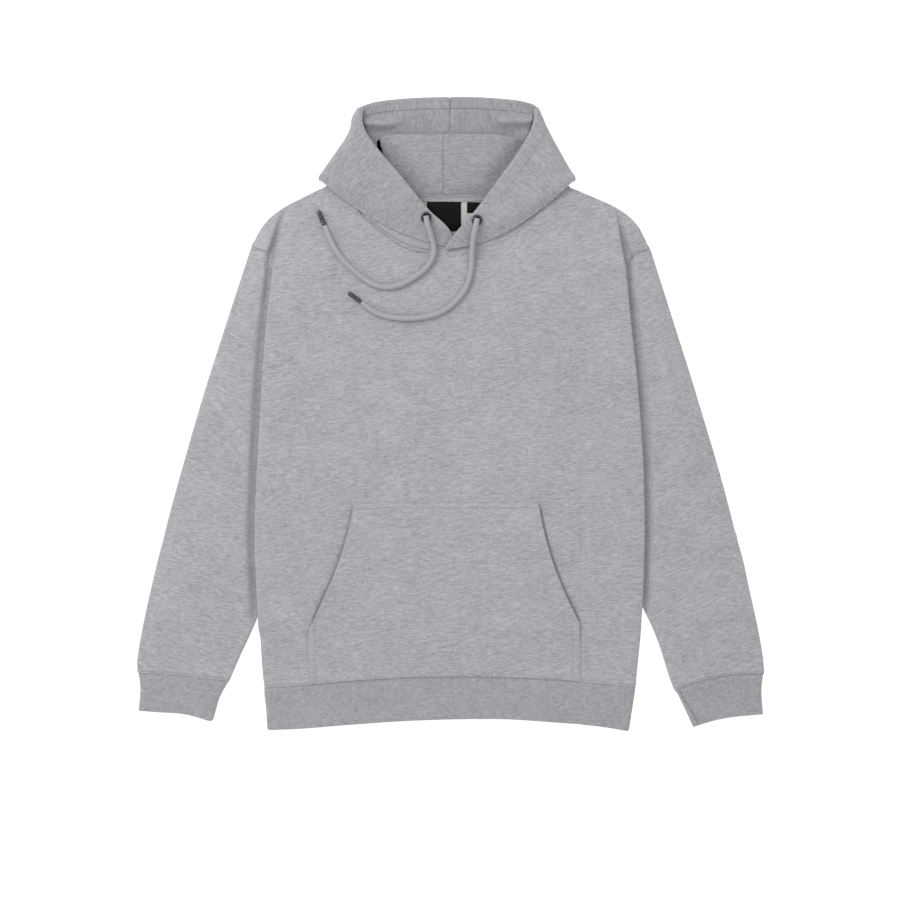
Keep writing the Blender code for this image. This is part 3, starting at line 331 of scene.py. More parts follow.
class HoodieRib(bpy.types.PropertyGroup):
    """The ribbed knit of the cuffs and the hem"""
    light: colour("Light fibre", "Colour of the palest fibres", 0.455, 0.447, 0.478)
    dark: colour("Dark fibre", "Colour of the darkest fibres", 0.265, 0.259, 0.280)
    streak_length: size("Streak length", "Length of a streak of the marl", 5.5)
    streak_height: size("Streak height", "Width of a streak of the marl", 2.6)
    grain: size("Grain", "Size of the knit's grain", 1.8)
    pitch: size("Pitch", "Distance from rib to rib", 2.6)
    nap: size("Nap", "Height of the knit's surface", 0.3)


class HoodieThread(bpy.types.PropertyGroup):
    """The topstitching"""
    tone: colour("Thread", "Colour of the thread", 0.62, 0.613, 0.64)
    # Painted shade: the rows below the hood use a much darker thread than elsewhere, standing in
    # for the shade in their grooves
    neck: colour("Neck thread", "Colour of the thread below the hood", 0.27, 0.265, 0.285)
    thickness: size("Thickness", "Thickness of the thread", 0.7)
    stitch: size("Stitch", "Length of a stitch", 3.0)
    gap: size("Gap", "Cloth between two stitches", 0.8)


class HoodieCord(bpy.types.PropertyGroup):
    """The drawcords"""
    tone: colour("Cord", "Colour of the cord", 0.44, 0.432, 0.455)
    diameter: size("Diameter", "Thickness of the cord", 7.0)
    pitch: size("Pitch", "Length of the braid's repeat", 7.0)
    strand: size("Strand", "How far a strand stands out", 0.22)
    taper: size("Taper", "Length over which the cord narrows into its tip", 5.0)


class HoodieMetal(bpy.types.PropertyGroup):
    """The eyelets and the cords' tips"""
    tone: colour("Gunmetal", "Colour of the plating", 0.10, 0.10, 0.108)
    roughness: bpy.props.FloatProperty(name="Roughness", description="Roughness of the plating",
                                       default=0.24, min=0, max=1, subtype="FACTOR")


class HoodieLabels(bpy.types.PropertyGroup):
    """The woven labels and the tape over the neck seam"""
    black: colour("Label", "Colour of the labels' satin", 0.0045, 0.0045, 0.005)
    tape: colour("Tape", "Colour of the neck tape", 0.37, 0.365, 0.385)
    pick: size("Pick", "Distance between the woven threads", 0.4)


class HoodieStudio(bpy.types.PropertyGroup):
    """Camera and light"""
    camera_height: size("Camera height", "From the table to the camera", 3500)
    view_width: size("View width", "Width of the table that the camera sees", 1143)
    key: bpy.props.FloatProperty(name="Key light", description="Power of the large lamp, in watts",
                                 default=26, min=0)
    fill: bpy.props.FloatProperty(name="Fill light", description="Strength of the light all round",
                                  default=0.78, min=0)


class HoodieSettings(bpy.types.PropertyGroup):
    """All sizes and colours of the hoodie"""
    fleece: bpy.props.PointerProperty(type=HoodieFleece)
    rib: bpy.props.PointerProperty(type=HoodieRib)
    thread: bpy.props.PointerProperty(type=HoodieThread)
    cord: bpy.props.PointerProperty(type=HoodieCord)
    metal: bpy.props.PointerProperty(type=HoodieMetal)
    labels: bpy.props.PointerProperty(type=HoodieLabels)
    studio: bpy.props.PointerProperty(type=HoodieStudio)


# Curves and distances

def smooth(share, line):
    """Points along a smooth curve through a line's points, at shares of its length."""
    line = np.asarray(line, float)
    run = lengths(line)
    gap = np.diff(run)
    rise = np.diff(line, axis=0) / gap[:, None]
    near = (gap[1:] / (gap[1:] + gap[:-1]))[:, None]
    slope = np.concatenate([rise[:1], near * rise[:-1] + (1 - near) * rise[1:], rise[-1:]])
    at = np.asarray(share, float) * run[-1]
    i = np.clip(np.searchsorted(run, at, side="right") - 1, 0, len(gap) - 1)
    t = ((at - run[i]) / gap[i])[:, None]
    reach = gap[i][:, None]
    return ((1 + 2 * t) * (1 - t) ** 2 * line[i] + t * (1 - t) ** 2 * reach * slope[i]
            + t ** 2 * (3 - 2 * t) * line[i + 1] + t ** 2 * (t - 1) * reach * slope[i + 1])


def lengths(line):
    """How far along a line each of its points is."""
    return np.concatenate([[0], np.cumsum(np.linalg.norm(np.diff(line, axis=0), axis=1))])


def step(x):
    """0 up to 0, 1 from 1 on, and an even curve between."""
    x = np.clip(x, 0, 1)
    return x * x * (3 - 2 * x)


def nearest(places, line, pieces=14):
    """From a line to each place: how far it lies to the right of the line's direction, or to
    the left where that is below 0, the nearest point's share of the line's length, and the
    way to the right there."""
    route = smooth(np.linspace(0, 1, pieces + 1), line)
    gap, share = np.full(len(places), np.inf), np.zeros(len(places))
    right = np.zeros((len(places), 2))
    for k, (start, end) in enumerate(zip(route, route[1:])):
        way, here = end - start, places - start
        across = np.array((way[1], -way[0])) / np.linalg.norm(way)
        t = np.clip(here @ way / (way @ way), 0, 1)
        far = np.linalg.norm(here - t[:, None] * way, axis=1)
        closer = far < np.abs(gap)
        gap[closer] = np.where(here[closer] @ across >= 0, 1, -1) * far[closer]
        share[closer], right[closer] = (k + t[closer]) / pieces, across
    return gap, share, right


def away(places, line, pieces=14):
    """Distance from a line to each place, above 0 to the right of the line's direction, and
    the nearest point's share of the line's length."""
    return nearest(places, line, pieces)[:2]


def apart(places, line, pieces=14):
    """Distance from each place to a line, on either side."""
    return np.abs(away(places, line, pieces)[0])


def outside(places, side):
    """How far each place lies outside the body's folded side."""
    return away(places, FOLD[side], 60)[0] * (1 if side == "left" else -1)


def valley(places):
    """Width of the valley's floor beside the body, at each place."""
    return np.interp(places[:, 1], *np.transpose(VALLEY))


def over_armholes(places):
    """0 beside the body's crisp folds and 1 over the armholes, at each place."""
    return step((places[:, 1] - ARMHOLE_LOW) / ARMHOLE_FADE)


def creased(places, creases):
    """Height that a set of soft creases adds at each place."""
    rise = np.zeros(len(places))
    for height, half_width, line in creases:
        gap, share = away(places, line)
        rise += height * np.exp(-(gap / half_width) ** 2) * np.sqrt(4 * share * (1 - share))
    return rise


def grooved(places, rows, depth=0.9, half_width=1.0):
    """Height that is lost where rows of stitches pull the cloth in."""
    return -depth * sum(np.exp(-(apart(places, row, 40) / half_width) ** 2) for row in rows)


def slack(places):
    """The slow swell of cloth that was laid down by hand."""
    x, y = places.T
    return (0.35 * np.sin(x / 37 + 1.3) * np.sin(y / 61 + 0.4)
            + 0.3 * np.sin(x / 29 - y / 53 + 2.0) * np.sin(y / 83 - x / 97 + 0.7))


def offset_line(line, by):
    """The same line moved sideways, to the right of its direction."""
    route = smooth(np.linspace(0, 1, 4 * len(line)), line)
    way = np.gradient(route, axis=0)
    way /= np.linalg.norm(way, axis=1)[:, None]
    return route + by * np.stack([way[:, 1], -way[:, 0]], axis=-1)


# Meshes

def placed(name, mesh):
    """Put a bmesh into the scene as an object at the origin."""
    data = bpy.data.meshes.new(name)
    mesh.to_mesh(data)
    mesh.free()
    thing = bpy.data.objects.new(name, data)
    bpy.context.scene.collection.objects.link(thing)
    return thing


def apply_modifiers(thing):
    """Make what the modifiers show the object's own mesh."""
    shown = thing.evaluated_get(bpy.context.evaluated_depsgraph_get())
    thing.data = bpy.data.meshes.new_from_object(shown)
    thing.modifiers.clear()


def finer(node, name, levels, plain=0):
    """A finer copy of a solid: in quads again, its cut edges rounded, and subdivided. Plain
    levels come first and keep its corners."""
    mesh = bmesh.new()
    mesh.from_mesh(NODES[node].data)
    bmesh.ops.remove_doubles(mesh, verts=mesh.verts, dist=0.001 * MM)
    bmesh.ops.join_triangles(mesh, faces=mesh.faces, angle_face_threshold=radians(70),
                             angle_shape_threshold=pi)
    cut = [edge for edge in mesh.edges if edge.calc_face_angle(0) > CUT_ANGLE]
    bmesh.ops.bevel(mesh, geom=cut, offset=bpy.context.scene.hoodie.fleece.edge, segments=1,
                    profile=0.5, affect="EDGES", material=-1, clamp_overlap=True)
    thing = placed(name, mesh)
    for kind, count in (("SIMPLE", plain), ("CATMULL_CLARK", levels)):
        if count:
            modifier = thing.modifiers.new("finer", "SUBSURF")
            modifier.subdivision_type = kind
            modifier.levels = modifier.render_levels = count
    apply_modifiers(thing)
    thing.data.shade_smooth()
    for line in OUTLINES.get(node, ()):
        draw_to(thing, line, ease=8.0)
    return thing


def refine(thing, longest, lines=(), reach=0.0):
    """Halve a piece's long edges, all over or within reach of some lines, up to three times."""
    mesh = bmesh.new()
    mesh.from_mesh(thing.data)
    for _ in range(3):
        ends = np.array([[vertex.co[:] for vertex in edge.verts] for edge in mesh.edges]) / MM
        too_long = np.linalg.norm(ends[:, 0] - ends[:, 1], axis=1) > longest
        if lines:
            middles = ends.mean(axis=1)[:, :2]
            too_long &= np.min([apart(middles, line, 40) for line in lines], axis=0) < reach
        split = [edge for edge, chosen in zip(mesh.edges, too_long) if chosen]
        if split:
            bmesh.ops.subdivide_edges(mesh, edges=split, cuts=1, use_grid_fill=True)
    mesh.to_mesh(thing.data)
    mesh.free()


def places_of(thing):
    """An object's points in millimetres."""
    flat = np.zeros(3 * len(thing.data.vertices))
    thing.data.vertices.foreach_get("co", flat)
    return flat.reshape(-1, 3) / MM


def move_to(thing, places):
    """Move an object's points to places in millimetres."""
    thing.data.vertices.foreach_set("co", (places * MM).ravel())
    thing.data.update()


def tree_of(*things):
    """A tree for finding the highest face of some objects over a place."""
    mesh = bmesh.new()
    for thing in things:
        mesh.from_mesh(thing.data)
    tree = BVHTree.FromBMesh(mesh)
    mesh.free()
    return tree


def face_over(tree, x, y):
    """Height and normal of the highest face at a place, or None past the edge."""
    hit, normal, _, _ = tree.ray_cast((x * MM, y * MM, 0.2), (0, 0, -1))
    return None if hit is None else (hit.z / MM, normal)


def press(thing, rise, layer=LAYER):
    """Raise the layer of a piece that shows from above, by a function of each place and of
    its face's height there."""
    tree, places = tree_of(thing), places_of(thing)
    tops = np.array([(face_over(tree, x, y) or (z,))[0] for x, y, z in places])
    on_top = 1 - step(tops - places[:, 2] - layer + 1)
    places[:, 2] = np.maximum(places[:, 2] + on_top * rise(places[:, :2], tops), 0)
    move_to(thing, places)


def draw_to(thing, line, ease=0.1, clear=0.0, reach=9.0, every=12.0):
    """Draw a piece's edge onto a line, or to just clear of it, and the cloth beside it along
    with it. The pull eases in and out at the line's ends."""
    places = places_of(thing)
    past, share, right = nearest(places[:, :2], line, 4 * len(line))
    length = lengths(np.asarray(line, float))[-1]
    along = (share > 0) & (share < 1)
    out = -np.sign(past[along & (np.abs(past) < 3 * reach)].mean())
    past *= out
    slots = max(2, round(length / every))
    edge = np.full(slots + 1, -np.inf)
    beside = along & (np.abs(past) < reach)
    np.maximum.at(edge, np.rint(share[beside] * slots).astype(int), past[beside])
    known = np.flatnonzero(np.isfinite(edge))
    edge = np.interp(share * slots, known, edge[known])
    drawn = (edge + clear) * (1 - step((edge - past - 1) / (2 * reach)))
    drawn *= step(share * length / ease) * step((1 - share) * length / ease)
    places[:, :2] -= (out * drawn)[:, None] * right
    move_to(thing, places)


def round_corner(thing, corner, ends, radius=3.2):
    """Round a corner of a piece, whose two sides run from it to some ends."""
    places = places_of(thing)
    sides = np.subtract(ends, corner)
    sides *= radius / np.linalg.norm(sides, axis=1)[:, None]
    share = 1 - (places[:, :2] - corner) @ np.linalg.inv(sides)
    inside = (share > 0).all(axis=1)
    share = share[inside]
    share *= (share.max(axis=1) / np.linalg.norm(share, axis=1))[:, None]
    places[inside, :2] = corner + (1 - share) @ sides
    move_to(thing, places)


def turned(name, section, steps=48):
    """A solid turned from its half section, in millimetres."""
    mesh = bmesh.new()
    ring = [mesh.verts.new((radius * MM, 0, height * MM)) for radius, height in section]
    edges = [mesh.edges.new(pair) for pair in zip(ring, ring[1:])]
    bmesh.ops.spin(mesh, geom=ring + edges, cent=(0, 0, 0), axis=(0, 0, 1), angle=2 * pi,
                   steps=steps, use_merge=True)
    bmesh.ops.remove_doubles(mesh, verts=mesh.verts, dist=0.01 * MM)
    bmesh.ops.recalc_face_normals(mesh, faces=mesh.faces)
    thing = placed(name, mesh)
    thing.data.shade_smooth()
    return thing


def swept(name, route, outline):
    """A closed tube: an outline, given across and up, carried along a route."""
    way = np.gradient(route, axis=0)
    way /= np.linalg.norm(way, axis=1)[:, None]
    level = np.cross(way, (0, 0, 1.0))
    level /= np.linalg.norm(level, axis=1)[:, None]
    outline = np.asarray(outline, float)
    rows, around = len(route), outline.shape[-2]
    outline = np.broadcast_to(outline, (rows, around, 2))
    places = (route[:, None] + outline[..., :1] * level[:, None]
              + outline[..., 1:] * np.cross(level, way)[:, None])
    run = lengths(route)
    mesh = bmesh.new()
    uv = mesh.loops.layers.uv.new("UVMap")
    bmesh.ops.create_grid(mesh, x_segments=around, y_segments=rows - 1, size=0.5)
    for vertex in mesh.verts:
        column = round((vertex.co.x + 0.5) * around)
        row = round((vertex.co.y + 0.5) * (rows - 1))
        for loop in vertex.link_loops:
            loop[uv].uv = (run[row] * MM, column / around)
        vertex.co = places[row, column % around] * MM
    bmesh.ops.remove_doubles(mesh, verts=mesh.verts, dist=0.001 * MM)
    ends = bmesh.ops.holes_fill(mesh, edges=[e for e in mesh.edges if e.is_boundary], sides=0)
    bmesh.ops.poke(mesh, faces=ends["faces"])
    bmesh.ops.recalc_face_normals(mesh, faces=mesh.faces)
    thing = placed(name, mesh)
    thing.data.shade_smooth()
    return thing


def backing(name, line, cloth, material, width=7.0, depth=1.2):
    """The seam allowance behind a seam: a strip just under the cloth on both its sides."""
    route = smooth(np.linspace(0, 1, 12 * len(line)), line)
    way = np.gradient(route, axis=0)
    across = np.stack([way[:, 1], -way[:, 0]], axis=-1)
    across /= np.linalg.norm(across, axis=1)[:, None]
    tree = tree_of(*cloth)
    middle = []
    for place, side in zip(route, across):
        faces = [face_over(tree, *(place + offset * side)) for offset in (-3, -1.5, 1.5, 3)]
        heights = [face[0] for face in faces if face]
        if heights:
            middle.append((*place, max(min(heights) - depth, 0.4)))
    half, rim = width / 2, width / 2 - 0.4
    outline = [(-half, 0), (-rim, 0.3), (rim, 0.3), (half, 0), (rim, -0.3), (-rim, -0.3)]
    strip = swept(name, np.array(middle), outline)
    strip.data.materials.append(material)
    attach(strip, "root")


def finish_piece(thing, node, material):
    """Give a piece its material and put it in its node's place."""
    thing.data.materials.clear()
    thing.data.materials.append(material)
    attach(thing, "root")
    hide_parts(node)


def finish_cloth(thing, node, material):
    """Finish a piece that is cloth."""
    finish_piece(thing, node, material)


# Materials

class Nodes:
    """A material and short ways to add its nodes."""

    def __init__(self, name, roughness, metallic=0.0, sheen=0.0):
        self.material = bpy.data.materials.new(name)
        self.material.use_nodes = True
        self.tree = self.material.node_tree
        self.shader = self.tree.nodes["Principled BSDF"]
        self.shader.inputs["Roughness"].default_value = roughness
        self.shader.inputs["Metallic"].default_value = metallic
        self.shader.inputs["Sheen Weight"].default_value = sheen
        self.shader.inputs["Sheen Roughness"].default_value = 0.5

    def add(self, kind, values=(), **settings):
        """A node with its settings, and its inputs filled by name or number."""
        node = self.tree.nodes.new("ShaderNode" + kind)
        for key, value in settings.items():
            setattr(node, key, value)
        for key, value in dict(values).items():
            if isinstance(value, bpy.types.NodeSocket):
                self.tree.links.new(value, node.inputs[key])
            else:
                node.inputs[key].default_value = value
        return node

    def to_shader(self, **sockets):
        """Lead values to the shader's inputs, named with _ for a space."""
        for key, socket in sockets.items():
            self.tree.links.new(socket, self.shader.inputs[key.replace("_", " ")])

    def blend(self, share, first, second):
        """A colour between two, by a share that varies."""
        node = self.add("Mix", {"Factor": share}, data_type="RGBA")
        for socket, value in zip((node.inputs[6], node.inputs[7]), (first, second)):
            if isinstance(value, bpy.types.NodeSocket):
                self.tree.links.new(value, socket)
            else:
                socket.default_value = (*value, 1)
        return node.outputs[2]

    def spread(self, value, low, high, to_low=0.0, to_high=1.0):
        """A value's range stretched to another, cut off at its ends."""
        node = self.add("MapRange", {"Value": value, "From Min": low, "From Max": high,
                                     "To Min": to_low, "To Max": to_high})
        return node.outputs["Result"]

    def maths(self, operation, first, second):
        """A sum, product or the like of two values."""
        node = self.add("Math", {0: first, 1: second}, operation=operation)
        return node.outputs[0]


def marl(name, light, dark, length, height, grain, nap, turn=0.0, ribs=0.0):
    """Mottled knit: fibres of two tones in short streaks, over a fine uneven grain. Ribs give
    the pitch of a ribbed knit's raised columns."""
    nodes = Nodes(name, roughness=0.92, sheen=0.1)
    place = nodes.add("TexCoord").outputs["Object"]
    drift = nodes.add("TexNoise", {"Vector": place, "Scale": 60.0, "Detail": 1.0})
    bent = nodes.add("VectorMath", {0: drift.outputs["Color"], 1: (0.003,) * 3},
                     operation="MULTIPLY").outputs[0]
    bent = nodes.add("VectorMath", {0: place, 1: bent}, operation="ADD").outputs[0]
    along = nodes.add("Mapping", {"Vector": bent, "Rotation": (0, 0, turn)}).outputs[0]

    def noise(scale, detail, roughness):
        mapped = nodes.add("Mapping", {"Vector": along, "Scale": scale}).outputs[0]
        return nodes.add("TexNoise", {"Vector": mapped, "Scale": 1.0, "Detail": detail,
                                      "Roughness": roughness}).outputs["Fac"]
    streaks = noise((1 / length, 1 / height, 1 / height), 3.0, 0.62)
    grains = noise((0.5 / grain, 1 / grain, 1 / grain), 2.0, 0.65)
    patches = noise((30.0, 38.0, 38.0), 2.0, 0.5)
    tone = nodes.maths("ADD", nodes.maths("MULTIPLY", streaks, 0.50),
                       nodes.maths("MULTIPLY", grains, 0.38))
    tone = nodes.maths("ADD", tone, nodes.maths("MULTIPLY", patches, 0.12))
    tone = nodes.spread(tone, 0.34, 0.66)
    nodes.to_shader(Base_Color=nodes.blend(tone, dark, light))
    rise = nodes.maths("ADD", nodes.maths("MULTIPLY", grains, 0.7),
                       nodes.maths("MULTIPLY", streaks, 0.6))
    if ribs:
        column = nodes.add("Mapping", {"Vector": place, "Rotation": (0, 0, turn)}).outputs[0]
        column = nodes.add("TexWave", {"Vector": column, "Scale": 0.314 / ribs, "Distortion": 0.6,
                                       "Detail": 1.0, "Detail Scale": 2.0}).outputs["Fac"]
        rise = nodes.maths("ADD", nodes.maths("MULTIPLY", rise, 0.6), column)
    bump = nodes.add("Bump", {"Strength": 0.55, "Distance": nap, "Height": rise})
    nodes.to_shader(Normal=bump.outputs[0])
    return nodes.material


def fleece(name, turn=0.0, shade=1.0):
    """Marl fleece, with its grain turned as its piece was cut, in degrees. A shade below 1 darkens
    both its colours, as painted shade.
    """
    cloth = bpy.context.scene.hoodie.fleece
    # Painted shade: both fibre colours scaled down by shade
    light, dark = ([shade * part for part in tone] for tone in (cloth.light, cloth.dark))
    return marl(name, light, dark, cloth.streak_length, cloth.streak_height, cloth.grain,
                cloth.nap, turn=radians(turn))


def rib_knit(name, turn=0.0):
    """Ribbed marl knit, with its ribs turned as its piece lies, in degrees."""
    knit = bpy.context.scene.hoodie.rib
    return marl(name, knit.light, knit.dark, knit.streak_length, knit.streak_height, knit.grain,
                knit.nap, turn=radians(turn), ribs=knit.pitch)


def brushed():
    """The fleece's raised inner side."""
    cloth = bpy.context.scene.hoodie.fleece
    dark = [0.85 * part for part in cloth.inside]
    return marl("brushed inside", cloth.inside, dark, 4 * MM, 3 * MM, cloth.grain, 2 * cloth.nap)


def thread_material(name, tone):
    """Twisted sewing thread."""
    nodes = Nodes(name, roughness=0.6, sheen=0.1)
    place = nodes.add("TexCoord").outputs["Object"]
    twist = nodes.add("TexNoise", {"Vector": place, "Scale": 900.0, "Detail": 1.0}).outputs["Fac"]
    shade = [0.8 * part for part in tone]
    nodes.to_shader(Base_Color=nodes.blend(nodes.spread(twist, 0.3, 0.7), shade, tone))
    return nodes.material


def braid_material():
    """Cotton braid, on the cord's own length and girth."""
    cord = bpy.context.scene.hoodie.cord
    nodes = Nodes("braided cotton", roughness=0.85, sheen=0.15)
    place = nodes.add("TexCoord").outputs["UV"]
    fibres = nodes.add("Mapping", {"Vector": place, "Scale": (1100.0, 9.0, 1.0)})
    fibres = nodes.add("TexNoise", {"Vector": fibres.outputs[0], "Scale": 1.0, "Detail": 2.0})
    mottle = nodes.add("TexNoise", {"Vector": place, "Scale": 160.0, "Detail": 1.0}).outputs["Fac"]
    tone = nodes.maths("ADD", nodes.maths("MULTIPLY", fibres.outputs["Fac"], 0.6),
                       nodes.maths("MULTIPLY", mottle, 0.4))
    dark = [0.68 * part for part in cord.tone]
    light = [1.12 * part for part in cord.tone]
    nodes.to_shader(Base_Color=nodes.blend(nodes.spread(tone, 0.3, 0.7), dark, light))
    bump = nodes.add("Bump", {"Strength": 0.4, "Distance": 0.25 * MM, "Height": tone})
    nodes.to_shader(Normal=bump.outputs[0])
    return nodes.material


def gunmetal_material():
    """Dark plating, a little cloudy from handling."""
    metal = bpy.context.scene.hoodie.metal
    nodes = Nodes("gunmetal plating", roughness=metal.roughness, metallic=1.0)
    place = nodes.add("TexCoord").outputs["Object"]
    cloud = nodes.add("TexNoise", {"Vector": place, "Scale": 260.0, "Detail": 3.0}).outputs["Fac"]
    worn = [1.5 * tone for tone in metal.tone]
    nodes.to_shader(Base_Color=nodes.blend(nodes.spread(cloud, 0.45, 0.75), metal.tone, worn))
    nodes.to_shader(Roughness=nodes.spread(cloud, 0.3, 0.7, metal.roughness - 0.06,
                                           metal.roughness + 0.1))
    return nodes.material


def woven_material(name, tone, pick, roughness):
    """A plain weave of thread over and under thread."""
    nodes = Nodes(name, roughness=roughness)
    nodes.shader.inputs["Specular IOR Level"].default_value = 0.1
    place = nodes.add("TexCoord").outputs["Object"]
    weave = nodes.add("TexChecker", {"Vector": place, "Scale": 0.5 / pick}).outputs["Fac"]
    noise = nodes.add("TexNoise", {"Vector": place, "Scale": 500.0, "Detail": 2.0}).outputs["Fac"]
    light = [1.25 * part for part in tone]
    dark = [0.8 * part for part in tone]
    nodes.to_shader(Base_Color=nodes.blend(nodes.spread(noise, 0.3, 0.7), dark, light))
    height = nodes.maths("ADD", nodes.maths("MULTIPLY", weave, 0.5), noise)
    bump = nodes.add("Bump", {"Strength": 0.35, "Distance": 0.15 * MM, "Height": height})
    nodes.to_shader(Normal=bump.outputs[0])
    return nodes.material


# Sewing

def sewn(name, lines, cloth, tone=None):
    """Rows of stitches along lines, half sunk into the face of some pieces."""
    thread = bpy.context.scene.hoodie.thread
    pitch = (thread.stitch + thread.gap) / MM
    tree = tree_of(*cloth)
    mesh = bmesh.new()
    for line in lines:
        count = max(2, round(lengths(np.asarray(line, float))[-1] / pitch))
        ends = smooth(np.linspace(0, 1, count + 1), line)
        for start, end in zip(ends, ends[1:]):
            middle = (start + end) / 2
            found = face_over(tree, *middle)
            if found is None:
                continue
            way = Vector((*(end - start), 0)).normalized()
            up = found[1]
            across = up.cross(way).normalized()
            turn = Matrix((across.cross(up), across, up)).transposed().to_4x4()
            height = found[0] * MM + 0.15 * thread.thickness
            stretch = Matrix.Diagonal((thread.stitch / 2, thread.thickness / 2,
                                       0.4 * thread.thickness, 1))
            place = Matrix.Translation((middle[0] * MM, middle[1] * MM, height))
            bmesh.ops.create_icosphere(mesh, subdivisions=1, radius=1,
                                       matrix=place @ turn @ stretch)
    stitches = placed(name, mesh)
    stitches.data.shade_smooth()
    stitches.data.materials.append(thread_material("thread, " + name, tone or thread.tone))
    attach(stitches, "root")


# Operators, one for each piece or group of like pieces

class HOODIE_OT_stage(bpy.types.Operator):
    """Lay the floor, hang the lights and set the camera straight above the garment"""
    bl_idname = "hoodie.stage"
    bl_label = "Studio"

    def execute(self, context):
        studio = context.scene.hoodie.studio
        scene = context.scene
        scene.view_settings.view_transform = "Standard"
        mesh = bmesh.new()
        bmesh.ops.create_grid(mesh, x_segments=1, y_segments=1, size=4.0)
        floor = placed("studio_floor", mesh)
        paper = Nodes("studio paper", roughness=0.9)
        paper.shader.inputs["Base Color"].default_value = (0.4, 0.4, 0.4, 1)
        paper.shader.inputs["Emission Color"].default_value = (1, 1, 1, 1)
        paper.shader.inputs["Emission Strength"].default_value = 0.82
        floor.data.materials.append(paper.material)

        lens = bpy.data.cameras.new("camera")
        lens.sensor_width = 36
        lens.lens = 36 * studio.camera_height / studio.view_width
        lens.clip_end = 20
        camera = bpy.data.objects.new("camera", lens)
        camera.location = (-0.95 * MM, -46.2 * MM, studio.camera_height)
        scene.collection.objects.link(camera)
        scene.camera = camera

        key = bpy.data.lights.new("key", "AREA")
        key.shape, key.size, key.energy = "DISK", 1.4, studio.key
        lamp = bpy.data.objects.new("key", key)
        lamp.location = (-1.5, 1.3, 2.0)
        lamp.rotation_euler = (-lamp.location).to_track_quat("-Z", "Y").to_euler()
        scene.collection.objects.link(lamp)

        world = bpy.data.worlds.new("white room")
        world.use_nodes = True
        sky = world.node_tree.nodes["Background"]
        sky.inputs["Color"].default_value = (1, 1, 1, 1)
        sky.inputs["Strength"].default_value = studio.fill
        scene.world = world
        return {"FINISHED"}


class HOODIE_OT_drawcords(bpy.types.Operator):
    """Braid the two drawcords and press their metal tips on"""
    bl_idname = "hoodie.drawcords"
    bl_label = "Drawcords"

    def execute(self, context):
        cotton, metal = braid_material(), gunmetal_material()
        under = tree_of(NODES["front"])
        for side in SIDES:
            route = self.route(side, context.scene.hoodie.cord, under)
            cord = self.braid(side, route, context.scene.hoodie.cord)
            finish_piece(cord, "drawcord_" + side, cotton)
            ahead = Vector(route[-1] - route[-2]).normalized()
            tip = turned("tip_" + side, TIP_SECTION, steps=28)
            start = Vector(route[-1]) + 0.3 * ahead
            tip.data.transform(Matrix.Translation(start * MM)
                               @ ahead.to_track_quat("Z", "Y").to_matrix().to_4x4())
            finish_piece(tip, "aglet_" + side, metal)
        return {"FINISHED"}

    @staticmethod
    def route(side, cord, under):
        """The cord's middle line, never closer to the front than it can lie."""
        line = smooth(np.linspace(0, 1, CORD_RESTS), CORD_ROUTES[side])
        for point in line:
            found = face_over(under, point[0], point[1])
            if found:
                point[2] = max(point[2], found[0] + cord.diameter / MM / 2 + CORD_LAY)
        return smooth(np.linspace(0, 1, CORD_RINGS), line)

    @staticmethod
    def braid(side, route, cord, around=24):
        """A tube along the route, its strands crossing in two directions."""
        run = lengths(route)[:, None]
        angle = np.linspace(0, 2 * pi, around, endpoint=False)
        turns = 4 * pi / (cord.pitch / MM)
        weave = np.sin(4 * angle + turns * run) * np.sin(4 * angle - turns * run)
        radius = cord.diameter / MM / 2 - cord.strand / MM * (0.5 + 0.5 * weave)
        radius = radius * (1 - 0.3 * step(1 - (run[-1] - run) / (cord.taper / MM)))
        outline = np.stack([radius * np.cos(angle), radius * np.sin(angle)], axis=-1)
        return swept("cord_" + side, route, outline)


